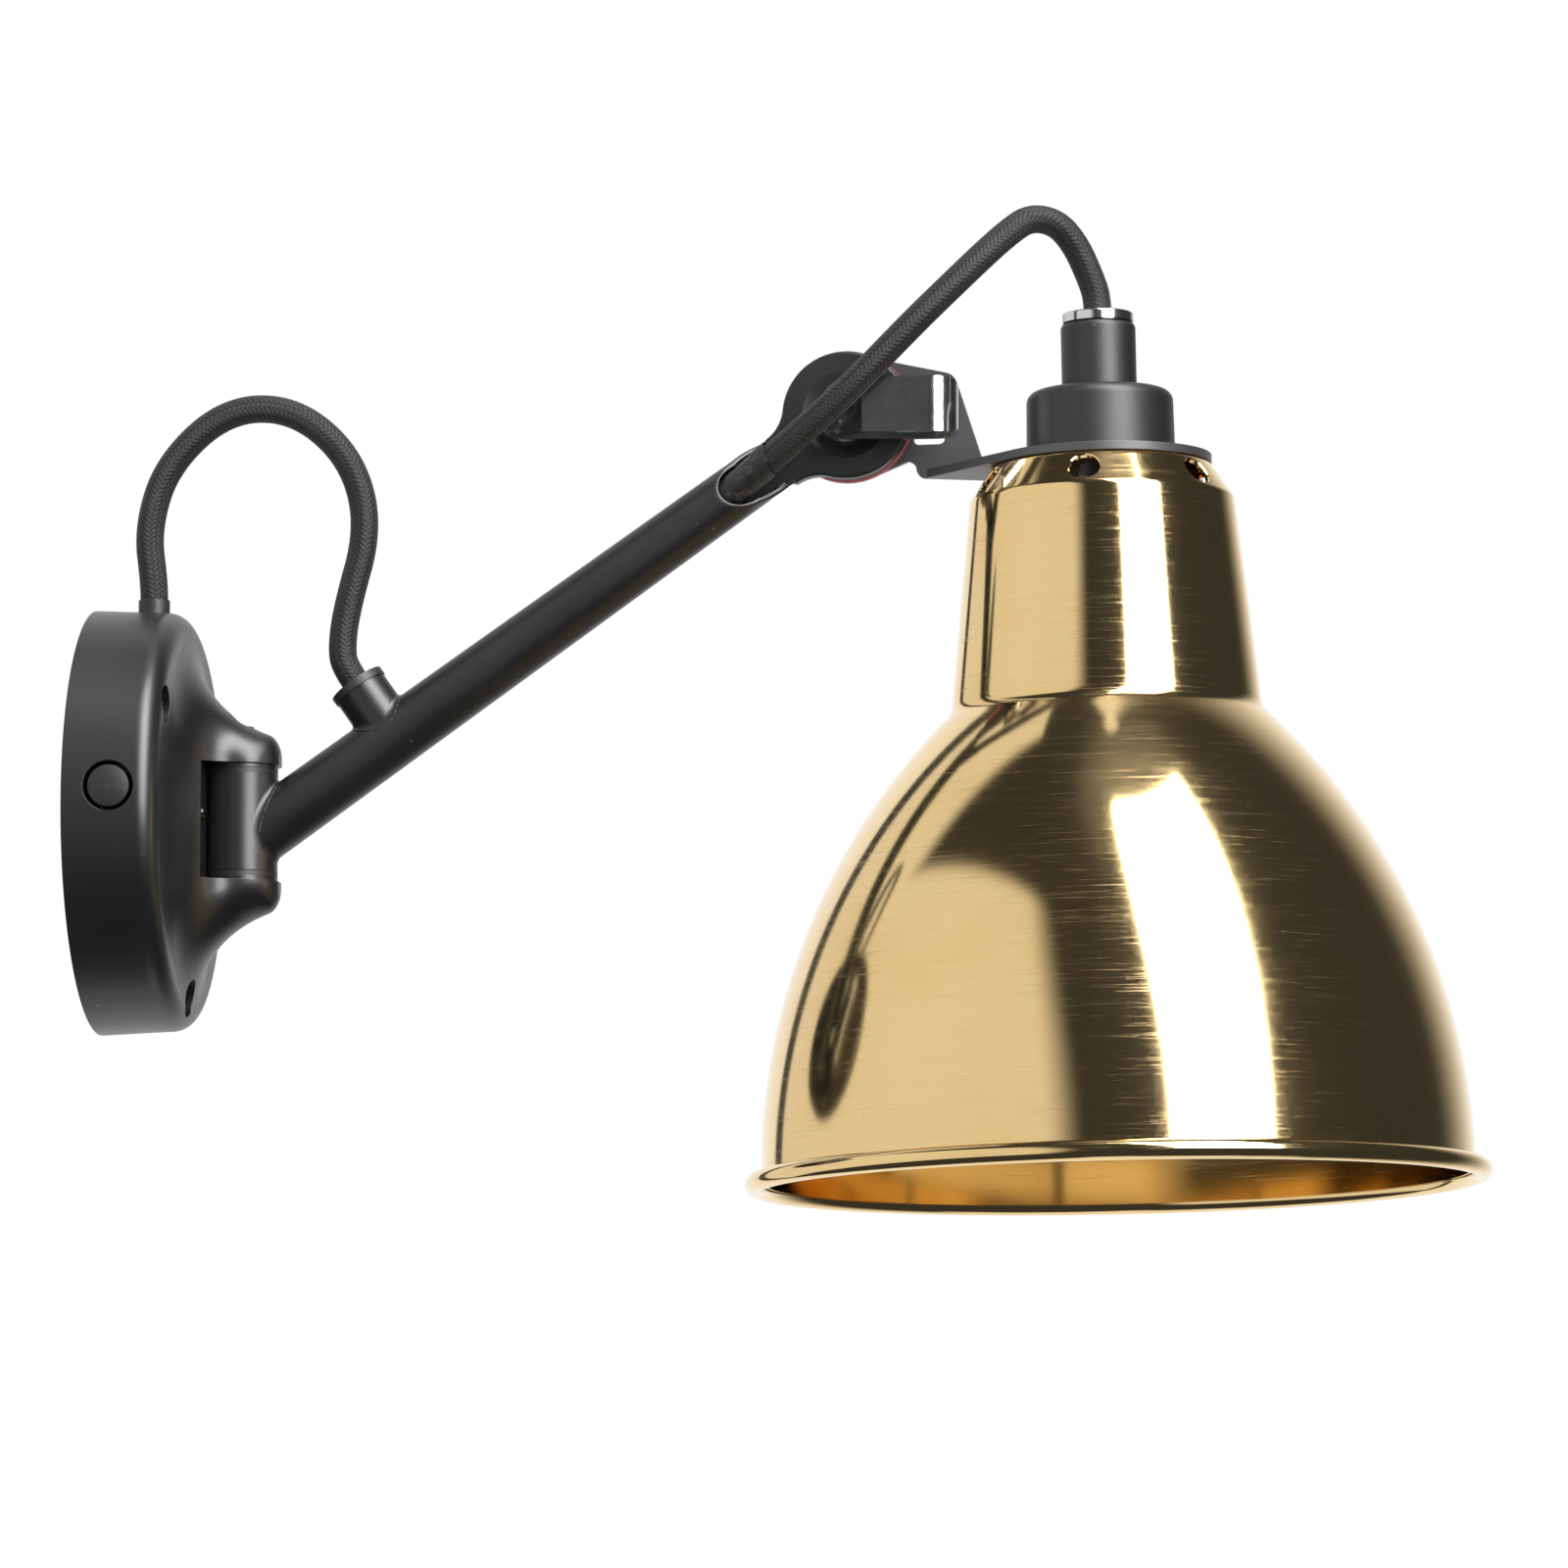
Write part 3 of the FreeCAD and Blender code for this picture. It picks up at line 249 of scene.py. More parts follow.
class Finish:
    """A material, or the world, and the nodes that make it."""

    def __init__(self, name, kind="materials", shader="Principled BSDF"):
        self.data = getattr(bpy.data, kind).new(name)
        self.data.use_nodes = True
        self.tree = self.data.node_tree
        self.shader = self.tree.nodes[shader]

    def node(self, kind, settings=None, sockets=None, out=0):
        """A node of that kind: its settings first, then the values or links of its sockets."""
        made = self.tree.nodes.new(kind)
        for key, value in (settings or {}).items():
            setattr(made, key, value)
        self.feed(made, sockets or {})
        return Value(self, made.outputs[out])

    def feed(self, made, sockets):
        for key, value in sockets.items():
            if isinstance(value, Value):
                self.tree.links.new(value.socket, made.inputs[key])
            else:
                made.inputs[key].default_value = value

    def surface(self, sockets):
        """Sets the sockets of the shader."""
        self.feed(self.shader, sockets)
        return self.data

    def look(self, base, roughness, height, depth, sockets=None, edge=None):
        """Sets the shader's colour, roughness and relief, bumped by a height, and further sockets."""
        normal = self.bump(height, depth, edge)
        return self.surface({"Base Color": base, "Roughness": roughness, "Normal": normal, **(sockets or {})})

    def place(self):
        return self.node("ShaderNodeTexCoord", out="Object")

    def turned(self, centre, turn):
        """Object coordinates measured from a centre, in axes that are turned by these angles."""
        return self.node("ShaderNodeMapping", {"vector_type": "TEXTURE"},
                         {"Vector": self.place(), "Location": tuple(centre), "Rotation": turn})

    def about(self, centre, turn):
        """The length along an axis and the share of the round about it, from the axis's centre and turn."""
        x, y, z = self.parts(self.turned(centre, turn))
        return z, x.maths("ARCTAN2", y, x) * (0.5 / math.pi)

    def parts(self, vector):
        x = self.node("ShaderNodeSeparateXYZ", sockets={"Vector": vector})
        return x, x.other("Y"), x.other("Z")

    def noise(self, scale, detail=2.0, roughness=0.5, at=None):
        return self.node("ShaderNodeTexNoise", sockets={
            "Vector": at or self.place(), "Scale": scale, "Detail": detail, "Roughness": roughness})

    def streaks(self, x, y, z, detail, roughness):
        """Noise in coordinates that are stretched each by its own scale."""
        stretched = self.node("ShaderNodeCombineXYZ", sockets={"X": x, "Y": y, "Z": z})
        return self.noise(1.0, detail, roughness, stretched)

    def specks(self, scale, share):
        """Small round specks, one in some of the cells of the given scale."""
        sockets = {"Vector": self.place(), "Scale": scale}
        cell = self.node("ShaderNodeTexVoronoi", sockets=sockets, out="Distance")
        odds = self.parts(cell.other("Color"))[0]
        return (1.0 - cell.step(0.05, 0.14)) * odds.above(1.0 - share)

    def blend(self, factor, first, second):
        """A colour between two colours."""
        return self.node("ShaderNodeMix", {"data_type": "RGBA"}, {
            0: factor, 6: colour(first), 7: colour(second)}, out=2)

    def bump(self, height, depth, edge=None):
        """A bumped normal, on top of a softened edge where one is given."""
        sockets = {"Height": height, "Distance": depth, **({"Normal": edge} if edge else {})}
        return self.node("ShaderNodeBump", sockets=sockets)


def colour(value):
    """A colour with its fourth number, or a link as it is."""
    return value if isinstance(value, Value) else (*value[:3], 1.0)


def shaded(tone, scale, lift=0.0):
    """A tone made paler or darker by a factor, and lifted by a number."""
    return tuple(min(1.0, scale * c + lift) for c in tone)


METAL = {"Metallic": 1.0}


def satin_coat(name, dark, pale, roughness, peel_depth):
    """Satin coat on metal: faint clouds, the orange peel of a sprayed coat, a little dust and soft edges."""
    finish = Finish(name)
    cloud = finish.noise(60.0, 3.0)
    peel = finish.noise(1700.0, 2.0, 0.6)
    dust = finish.specks(330.0, 0.035)
    edge = finish.node("ShaderNodeBevel", {"samples": 6}, {"Radius": 0.00022})
    base = finish.blend(dust * 0.5, finish.blend(cloud, dark, pale), (0.16, 0.15, 0.14))
    return finish.look(base, roughness + (cloud - 0.5) * 0.09 + (peel - 0.5) * 0.08, peel, peel_depth,
                       {"Specular IOR Level": 0.55}, edge)


def moulded(name, tone, roughness, grain, depth):
    """Moulded plastic: an even colour with a fine spark-eroded grain and a cloudy gloss."""
    finish = Finish(name)
    fine = finish.noise(grain, 3.0, 0.65)
    cloud = finish.noise(90.0, 2.0)
    base = finish.blend(cloud * 0.55 + fine * 0.25, tone, shaded(tone, 1.35, 0.004))
    return finish.look(base, roughness + (fine - 0.5) * 0.16 + (cloud - 0.5) * 0.06, fine, depth)


def turned_metal(name, tone, roughness, centre, turn, pitch, depth):
    """Bare metal with the fine rings that a lathe tool leaves about an axis, given by its centre and turn."""
    finish = Finish(name)
    x, y, z = finish.parts(finish.turned(centre, turn))
    out = (x * x + y * y).root()
    rings = finish.streaks(x * 30.0, y * 30.0, (z - out) * (1.0 / pitch), 2.0, 0.6)
    smear = finish.noise(140.0, 3.0)
    base = finish.blend(smear * 0.6 + rings * 0.3, tone, shaded(tone, 0.78))
    return finish.look(base, roughness + (rings - 0.5) * 0.14 + (smear - 0.5) * 0.10, rings, depth, METAL)


def chrome_plate(name, tone):
    """Chromed strip: near mirror bright, with faint lengthwise rolling marks and smears."""
    finish = Finish(name)
    x, y, z = finish.parts(finish.place())
    rolled = finish.streaks(x * 60.0, y * 60.0, z * 5200.0, 2.0, 0.6)
    smear = finish.noise(260.0, 4.0, 0.6)
    base = finish.blend(smear * 0.5, tone, shaded(tone, 0.82))
    return finish.look(base, 0.075 + smear * 0.08 + rolled * 0.05, rolled, 0.0000012, METAL)


def spun_brass(name, settings):
    """Polished spun brass: fine rings about the shade's axis, tanned clouds and small pits."""
    finish = Finish(name)
    x, y, z = finish.parts(finish.turned(*SHADE_AXIS))
    down = z - (x * x + y * y).root()
    fine = finish.streaks(x * 60.0, y * 60.0, down * 5200.0, 3.0, 0.7)
    broad = finish.streaks(x * 12.0, y * 12.0, down * 420.0, 3.0, 0.6)
    cloud = finish.streaks(x * 26.0, y * 26.0, z * 34.0, 4.0, 0.6)
    pits = finish.specks(430.0, 0.012)
    score = fine.step(0.56, 0.72)
    tanned = cloud.step(0.42, 0.72) * 0.6 + (broad - 0.5) * 0.5
    ground = finish.blend(tanned, settings.brass, settings.warm_brass)
    lined = finish.blend(score * 0.45, ground, (0.60, 0.43, 0.20))
    base = finish.blend(pits * 0.3, lined, (0.12, 0.085, 0.045))
    dullness = settings.roughness + score * 0.16 + cloud.step(0.45, 0.75) * 0.03 + pits * 0.2
    return finish.look(base, dullness, fine * 0.7 + broad * 0.5, 0.0000034, METAL)


def braid_pattern(along, round_share, stitch, carriers):
    """Threads of two hands that cross over two and under two, which makes columns along the cord.

    One hand runs where carriers times the share of the round plus the length in stitches is whole, the
    other where their difference is. The thread on top changes with the sum of both counts. Its height is a
    half round, and the columns are crowned by the square of the distance from their middles.
    """
    turns = round_share * float(carriers)
    steps = along * (0.5 / stitch)
    right, left = turns + steps, turns - steps
    over = ((right.whole() + left.whole() + 4000.0) * 0.25).fraction().above(0.45)
    across = (over * right + (1.0 - over) * left).fraction() * 2.0 - 1.0
    thread = (1.0 - across * across).root()
    column = (turns + 3.75).fraction() * 2.0 - 1.0
    return thread * 0.7 + (1.0 - column * column) * 0.3, over


def braided(finish, along, round_share, settings, wear, pale, roughness, sockets=None):
    """The braid's threads over the darker gaps, worn pale, with loose fibres."""
    height, over = braid_pattern(along, round_share, settings.stitch, settings.carriers)
    fuzz = finish.noise(5200.0, 2.0, 0.7)
    dark = settings.thread_colour
    thread = finish.blend(fuzz * 0.6 + over * 0.2 + wear, dark, shaded(dark, pale))
    base = finish.blend(height.step(0.3, 0.95), settings.gap_colour, thread)
    return finish.look(base, roughness + fuzz * 0.2, height + fuzz * 0.2, 0.00018, sockets)


def braid(name, settings):
    """Braided cover of the cord, laid out along and round the cord by its own map."""
    finish = Finish(name)
    along, round_share, _ = finish.parts(finish.node("ShaderNodeTexCoord", out="UV"))
    return braided(finish, along, round_share, settings, finish.noise(150.0, 3.0) * 0.3, 2.3, 0.55,
                   {"Specular IOR Level": 0.3, "Sheen Weight": 0.1, "Sheen Roughness": 0.45})


def hidden_braid(name, settings, centre, turn):
    """The same braid on a straight hidden stretch, laid out about the stretch's axis."""
    finish = Finish(name)
    return braided(finish, *finish.about(centre, turn), settings, 0.0, 1.5, 0.6)


def shrunk_sleeve(name):
    """Heat-shrunk sleeve: dark grey, with crumples and pale stress marks where it is folded."""
    finish = Finish(name)
    crumple = finish.noise(620.0, 4.0, 0.62)
    fine = finish.noise(2600.0, 2.0, 0.6)
    stress = crumple.step(0.50, 0.66) * fine.step(0.42, 0.62)
    base = finish.blend(stress * 0.75, (0.013, 0.013, 0.0135), (0.15, 0.148, 0.142))
    return finish.look(base, 0.42 + crumple * 0.22, crumple + fine * 0.2, 0.00022)


def rubber(name, tone):
    """Rubber sleeve with a pale bloom on it and a fine grain."""
    finish = Finish(name)
    bloom = finish.noise(420.0, 4.0, 0.6)
    fine = finish.noise(3000.0, 2.0, 0.6)
    base = finish.blend(bloom.step(0.35, 0.8) * 0.6, tone, shaded(tone, 1.9, 0.004))
    return finish.look(base, 0.5 + (bloom - 0.5) * 0.2, bloom + fine * 0.3, 0.00006)


def pressed_fibre(name, tone):
    """Pressed fibre washer: a mottled red with pale short fibres."""
    finish = Finish(name)
    x, y, z = finish.parts(finish.place())
    mottle = finish.noise(420.0, 4.0, 0.65)
    fibres = finish.streaks(x * 900.0, y * 3800.0, z * 900.0, 3.0, 0.7)
    ground = finish.blend(mottle.step(0.3, 0.7), shaded(tone, 0.62), tone)
    base = finish.blend(fibres.step(0.56, 0.74) * 0.6, ground, shaded(tone, 1.35, 0.06))
    return finish.look(base, 0.66 + (fibres - 0.5) * 0.2, mottle * 0.6 + fibres * 0.5, 0.00005)


def threaded_brass(name, centre, turn):
    """Pressed brass shell with a screw thread: a sine that goes once round the socket's axis in each pitch."""
    finish, pitch = Finish(name), 0.00282
    along, round_share = finish.about(centre, turn)
    thread = ((along * (1.0 / pitch) + round_share) * (2.0 * math.pi)).sine() * 0.5 + 0.5
    stain = finish.noise(300.0, 4.0, 0.6)
    base = finish.blend(stain.step(0.35, 0.8), (0.80, 0.59, 0.28), (0.52, 0.34, 0.13))
    return finish.look(base, 0.2 + stain * 0.22, thread, 0.0005, METAL)


def linked(name, data):
    """A new object in the scene."""
    obj = bpy.data.objects.new(name, data)
    bpy.context.scene.collection.objects.link(obj)
    return obj


def stood(name, data, right, up, back, place):
    """A camera or a light at a place, with its own axes towards the right, up and back."""
    obj = linked(name, data)
    turn = np.eye(4)
    turn[:3] = np.stack([right, up, back, place], axis=1)
    obj.matrix_world = Matrix(turn.tolist())
    return obj


def quads(rows, columns, closed):
    """The corners of the squares of a grid, with the last column joined to the first where it is closed."""
    down, along = np.meshgrid(np.arange(rows - 1), np.arange(columns - (not closed)), indexing="ij")
    down, along = down.ravel(), along.ravel()
    after = (along + 1) % columns
    return np.stack([down * columns + along, (down + 1) * columns + along,
                     (down + 1) * columns + after, down * columns + after], axis=1)


def settled(obj):
    """The mesh of an object with its modifiers or its curve worked out."""
    return bpy.data.meshes.new_from_object(obj.evaluated_get(bpy.context.evaluated_depsgraph_get()))


def piece(name, patches, material, body=None, sharp=None):
    """One object from grid patches of points, welded where patches meet.

    Each patch is (points, closed, turned over): points run by rows and columns, and the faces look towards
    the cross product of the row and column directions, or away from it where the patch is turned over.
    """
    points, faces, first = [], [], 0
    for grid, closed, over in patches:
        rows, columns = grid.shape[:2]
        squares = quads(rows, columns, closed) + first
        points.append(grid.reshape(-1, 3))
        faces.append(squares[:, ::-1] if over else squares)
        first += rows * columns
    mesh = bpy.data.meshes.new(name)
    mesh.from_pydata(np.concatenate(points).tolist(), [], np.concatenate(faces).tolist())
    obj = linked(name, mesh)
    obj.modifiers.new("Weld", "WELD").merge_threshold = WELD_GAP
    obj.data = settled(obj)
    obj.data.name = name
    bpy.data.meshes.remove(mesh)
    obj.modifiers.clear()
    finish_piece(obj, material, sharp)
    if body:
        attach(obj, body)
    return obj


def finish_piece(obj, material, sharp):
    """Smooth shading with sharp edges above an angle, and the material."""
    obj.data.shade_smooth()
    if sharp:
        obj.data.set_sharp_from_angle(angle=math.radians(sharp))
    obj.data.materials.append(material)


def ring(count):
    """Angles once round, without the last one that would meet the first."""
    return np.linspace(0.0, 2.0 * math.pi, count, endpoint=False)


def unit(vectors):
    """Vectors of the same directions, each one long."""
    return vectors / np.linalg.norm(vectors, axis=-1, keepdims=True)


def route_line(name, points):
    """The points of the smooth line that has the route's points as its control points."""
    curve = bpy.data.curves.new(name, "CURVE")
    curve.dimensions = "3D"
    curve.resolution_u = 24
    spline = curve.splines.new("NURBS")
    spline.points.add(len(points) - 1)
    spline.points.foreach_set("co", np.column_stack([points, np.ones(len(points))]).ravel())
    spline.order_u = 3
    spline.use_endpoint_u = True
    guide = linked(name, curve)
    mesh = settled(guide)
    line = np.empty(3 * len(mesh.vertices))
    mesh.vertices.foreach_get("co", line)
    bpy.data.objects.remove(guide)
    bpy.data.curves.remove(curve)
    bpy.data.meshes.remove(mesh)
    return line.reshape(-1, 3)


def cord_tube(name, line, settings, material):
    """A round tube along a line, swollen in three places by its cores.

    The radius is half the diameter over the cores, and less between them by the swell times half of one minus
    the cosine of three times the angle. That pattern turns once in the twist's length. The map runs along the
    cord in metres and once round it.
    """
    steps = np.linalg.norm(np.diff(line, axis=0), axis=1)
    line = line[np.concatenate([[True], steps > 1e-7])]
    reach = np.concatenate([[0.0], np.cumsum(np.linalg.norm(np.diff(line, axis=0), axis=1))])
    ahead = unit(np.gradient(line, reach, axis=0))
    side = unit(ACROSS - ahead * (ahead @ ACROSS)[:, None])
    over = np.cross(ahead, side)
    rows, columns = len(line), 40
    angle = ring(columns)
    lobes = np.cos(3.0 * (angle - 2.0 * math.pi * reach[:, None] / settings.core_twist))
    radius = settings.diameter / 2.0 * (1.0 - settings.core_swell / 2.0 + settings.core_swell / 2.0 * lobes)
    grid = line[:, None] + radius[..., None] * (
        np.cos(angle)[:, None] * side[:, None] + np.sin(angle)[:, None] * over[:, None])
    squares = quads(rows, columns, True)
    ends = np.arange(columns), np.arange(columns)[::-1] + (rows - 1) * columns
    faces = squares[:, ::-1].tolist() + [end.tolist() for end in ends]
    mesh = bpy.data.meshes.new(name)
    mesh.from_pydata(grid.reshape(-1, 3).tolist(), [], faces)
    down, along = np.divmod(squares, columns)
    along[:, 2:] += columns * (along[:, 2:] == 0)
    chart = np.stack([reach[down], along / columns], axis=-1)[:, ::-1].reshape(-1, 2)
    chart = np.concatenate([chart, np.zeros((2 * columns, 2))])
    mesh.uv_layers.new(name="cord").data.foreach_set("uv", chart.ravel())
    obj = linked(name, mesh)
    finish_piece(obj, material, 60.0)
    return obj, line, reach[-1]


def free_cord(name, points, node, settings, material):
    """A free stretch of cord laid between two bodies, which stands for its solid."""
    line = route_line(name, np.asarray(points))
    obj, line, length = cord_tube(name, line, settings, material)
    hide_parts(node)
    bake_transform(obj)


def corner_round(corner, before, after, radius):
    """The middle of a round that touches two lines inside their corner, from their outward directions."""
    return corner - radius * (before + after) / (1.0 + before @ after)


def arc(centre, radius, first, last, rows):
    """Points of an arc about a centre from one direction to another, the short way round."""
    start, end = (math.atan2(way[1], way[0]) for way in (first, last))
    turn = start + np.linspace(0.0, (end - start + math.pi) % (2.0 * math.pi) - math.pi, rows)
    return centre + radius * np.stack([np.cos(turn), np.sin(turn)], axis=1)


class ShadeLines:
    """The lines of the shade's outline, as radius and height below the top.

    A flat top, a slanted shoulder and a straight neck meet in rounds that touch both lines. A hollow arc
    touches the neck and the dome, and the dome is an arc that ends upright at the mouth.
    """

    def __init__(self, settings):
        self.settings = settings
        self.crease = np.array([settings.neck_radius, -settings.shoulder])
        self.slant = unit(np.array([settings.shoulder, settings.neck_radius - settings.top_radius]))
        self.climb = np.array([-self.slant[1], self.slant[0]])
        self.down = unit(np.array([settings.neck_end - settings.neck_radius, -settings.neck_length]))
        self.out = np.array([-self.down[1], self.down[0]])
        self.up = np.array([0.0, 1.0])
        top = np.array([settings.top_radius, 0.0])
        self.top_round = corner_round(top, self.up, self.slant, settings.top_round)
        self.crease_round = corner_round(self.crease, self.slant, self.out, settings.crease_round)
        rounds = self.crease_round, self.top_round
        self.low, self.high = ((middle - self.crease) @ self.climb for middle in rounds)
        self.dome = np.array([settings.mouth_radius - settings.dome_radius, -settings.height])
        start = self.crease + self.out * settings.hollow
        offset, far = start - self.dome, settings.dome_radius + settings.hollow
        half = offset @ self.down
        spread = math.sqrt(half ** 2 - offset @ offset + far ** 2)
        run = -half - spread if half + spread < 0.0 else -half + spread
        self.hollow = start + self.down * run
        self.to_dome = unit(self.dome - self.hollow)

    def wall(self, inset):
        """The outline below the shoulder, or its inside when it is inset by the thickness."""
        settings = self.settings
        bend = arc(self.crease_round, settings.crease_round - inset, self.slant, self.out, 8)
        foot = self.hollow - self.out * (settings.hollow + inset)
        neck = bend[-1] + (foot - bend[-1]) * np.linspace(0.0, 1.0, 26)[:, None]
        hollow = arc(self.hollow, settings.hollow + inset, -self.out, self.to_dome, 12)
        dome = arc(self.dome, settings.dome_radius - inset, -self.to_dome, np.array([1.0, 0.0]), 70)
        return np.concatenate([bend, neck[1:], hollow[1:], dome[1:]])

    def cap(self, inset):
        """The outline above the shoulder: the flat top and its round edge."""
        settings = self.settings
        edge = arc(self.top_round, settings.top_round - inset, self.up, self.slant, 7)
        flat = np.stack([np.linspace(settings.opening, edge[0, 0], 5), np.full(5, -inset)], axis=1)
        return np.concatenate([flat, edge[1:]])

    def shoulder(self, inset, rise, round_angle):
        """A point of the shoulder, a length up from the crease and at an angle round the shade."""
        place = self.crease - inset * self.slant + np.asarray(rise)[..., None] * self.climb
        return spun(place[..., 0], place[..., 1], round_angle)

    def vent_edge(self, inset, radius, turn):
        """Where a drill square to the shoulder meets its cone, as the angle round the shade and the rise.

        A point of the drill's circle moves along the drill until it lies on the cone.
        """
        across, rise = radius * np.cos(turn), self.settings.vent_rise + radius * np.sin(turn)
        reach = np.zeros_like(turn)
        for _ in range(16):
            place = self.crease + reach[:, None] * self.slant + rise[:, None] * self.climb
            offset = np.stack([np.hypot(place[:, 0], across), place[:, 1]], axis=1) - self.crease
            reach = reach - (offset @ self.slant + inset)
        return np.arctan2(across, place[:, 0]), offset @ self.climb


def spun(radius, height, round_angle):
    """Turns a radius and a height below the top to an angle from the front, in the leaned head."""
    upright = np.stack([radius * np.sin(round_angle), -radius * np.cos(round_angle),
                        np.broadcast_to(height, np.shape(round_angle))], axis=-1)
    return leaned(SHADE_TOP + upright)


def turned_round(outline, columns):
    """An outline of radius and height, turned to each of the columns' angles."""
    return spun(outline[:, :1], outline[:, 1:], np.broadcast_to(columns, (len(outline), len(columns))))


def shade_patches(settings):
    """The spun wall inside and out, the shoulder between its vents, the openings' edges and the bead."""
    lines = ShadeLines(settings)
    sector, per_side, per_end, rings = 2.0 * math.pi / settings.vents, 40, 12, 14
    span = np.linspace(-0.5, 0.5, per_side, endpoint=False) * sector
    climb = np.linspace(lines.low, lines.high, per_end, endpoint=False)
    fall = np.linspace(lines.high, lines.low, per_end, endpoint=False)
    border_round = np.concatenate([span, np.full(per_end, sector / 2), -span, np.full(per_end, -sector / 2)])
    border_rise = np.concatenate([np.full(per_side, lines.low), climb, np.full(per_side, lines.high), fall])
    turn = np.arctan2(border_rise - settings.vent_rise, border_round * settings.neck_radius)
    columns = (np.arange(settings.vents * per_side) / per_side - 0.5) * sector + settings.vent_first
    share = (np.linspace(0.0, 1.0, rings) ** 1.3)[:, None]
    bored = settings.vent - settings.broken
    patches, edges = [], []
    for inset, over, radius in ((0.0, False, settings.vent), (settings.thickness, True, bored)):
        hole_round, hole_rise = lines.vent_edge(inset, radius, turn)
        ring_round = hole_round + (border_round - hole_round) * share
        ring_rise = hole_rise + (border_rise - hole_rise) * share
        for i in range(settings.vents):
            centre = settings.vent_first + i * sector
            patches.append((lines.shoulder(inset, ring_rise, ring_round + centre), True, over))
            edges.append(lines.shoulder(inset, hole_rise, hole_round + centre))
        for outline in (lines.wall(inset), lines.cap(inset)):
            patches.append((turned_round(outline, columns), True, over))
    bored_round, bored_rise = lines.vent_edge(settings.broken, bored, turn)
    for i, (outer, inner) in enumerate(zip(edges[:settings.vents], edges[settings.vents:])):
        broken = lines.shoulder(settings.broken, bored_rise, bored_round + settings.vent_first + i * sector)
        patches.append((np.stack([inner, broken, outer]), True, False))
    inside = settings.mouth_radius - settings.thickness
    mouth = [(settings.mouth_radius, -settings.height), (inside, -settings.height)]
    eye = [(settings.opening, -settings.thickness), (settings.opening, 0.0)]
    roll, thick = np.linspace(0.0, 2.0 * math.pi, 25), settings.bead
    middle = settings.mouth_radius - settings.thickness / 2 + 0.9 * thick
    bead = np.stack([middle + thick * np.cos(roll), -settings.height - thick * np.sin(roll)], axis=1)
    outlines = (np.array(outline) for outline in (mouth, eye, bead))
    return patches + [(turned_round(outline, columns), True, False) for outline in outlines]


def seam(name, corner, first_way, second_way, inside, reach, first_fit, second_fit, material):
    """A rounded weld along a closed corner line between two round walls.

    Across the corner it is a curve drawn from a point on one wall to a point on the other, pulled towards the
    corner: the share (1 - u) squared of the first, u squared of the second and the rest of the corner. It is
    closed inside.
    """
    u = np.linspace(0.0, 1.0, 9)[:, None, None]
    first = first_fit(corner + reach * first_way)
    second = second_fit(corner + reach * second_way)
    curve = (1.0 - u) ** 2 * first + 2.0 * u * (1.0 - u) * corner + u ** 2 * second
    loop = np.concatenate([curve, (corner + 0.5 * reach * inside)[None], curve[:1]])
    middle = curve[4] - corner
    facing = np.cross(loop[5] - loop[3], np.roll(loop[4], -1, axis=0) - loop[4])
    over = bool((facing * middle).sum() < 0.0)
    piece(name, [(loop, True, over)], material, "arm", sharp=50.0)


def square_ways(corner, normal_a, normal_b):
    """Directions in each wall, square to the corner line and away from the other wall."""
    tangent = unit(np.roll(corner, -1, axis=0) - np.roll(corner, 1, axis=0))
    in_a, in_b = unit(np.cross(normal_a, tangent)), unit(np.cross(normal_b, tangent))
    in_a *= np.sign((in_a * normal_b).sum(-1, keepdims=True))
    in_b *= np.sign((in_b * normal_a).sum(-1, keepdims=True))
    return in_a, in_b


def arm_radius(along):
    """The arm's radius, which falls evenly along it."""
    return (ROOT_DIAMETER + (TIP_DIAMETER - ROOT_DIAMETER) * along / TUBE_LENGTH) / 2.0


def fitted(points, foot, axis, wall):
    """Moves points just inside a round wall about an axis, whose radius goes by the length along it."""
    local = points - foot
    along = (local @ axis)[..., None]
    return foot + along * axis + unit(local - along * axis) * (wall(along) - SINK)


def fit_arm(points):
    """Moves points onto the arm's round wall."""
    return fitted(points, ARM_ROOT, ARM_ALONG, arm_radius)


def arm_root_seam(material):
    """The weld between the knuckle's barrel and the arm's tube."""
    barrel, angle = 0.0071, ring(120)
    along = np.zeros_like(angle)
    for _ in range(6):
        radius = arm_radius(along)
        across, up = radius * np.cos(angle), radius * np.sin(angle)
        out = np.sqrt(barrel ** 2 - across ** 2)
        along = (HINGE[0] + out - ARM_ROOT[0] - up * ARM_UP[0]) / ARM_ALONG[0]
    corner = on_arm(along, across, up)
    on_barrel = (corner - HINGE) * [1.0, 1.0, 0.0] / barrel
    on_tube = np.cos(angle)[:, None] * ACROSS + np.sin(angle)[:, None] * ARM_UP
    barrel_way, tube_way = square_ways(corner, on_barrel, on_tube)
    seam("arm_root_weld", corner, tube_way, barrel_way, -unit(on_barrel + on_tube), 0.0011, fit_arm,
         lambda points: fitted(points, HINGE, UPRIGHT, lambda along: barrel), material)


def boss_foot_seam(material):
    """The weld between the cord boss and the arm's tube."""
    boss, angle = 0.00525, ring(120)
    along, across = BOSS_PLACE + boss * np.cos(angle), boss * np.sin(angle)
    up = np.sqrt(arm_radius(along) ** 2 - across ** 2)
    corner = on_arm(along, across, up)
    on_boss = np.cos(angle)[:, None] * ARM_ALONG + np.sin(angle)[:, None] * ACROSS
    on_tube = unit(across[:, None] * ACROSS + up[:, None] * ARM_UP)
    boss_way, tube_way = square_ways(corner, on_boss, on_tube)
    foot = on_arm(BOSS_PLACE, 0.0, 0.0)
    seam("boss_foot_weld", corner, boss_way, tube_way, -unit(on_boss + on_tube), 0.0010,
         lambda points: fitted(points, foot, ARM_UP, lambda along: boss), fit_arm, material)


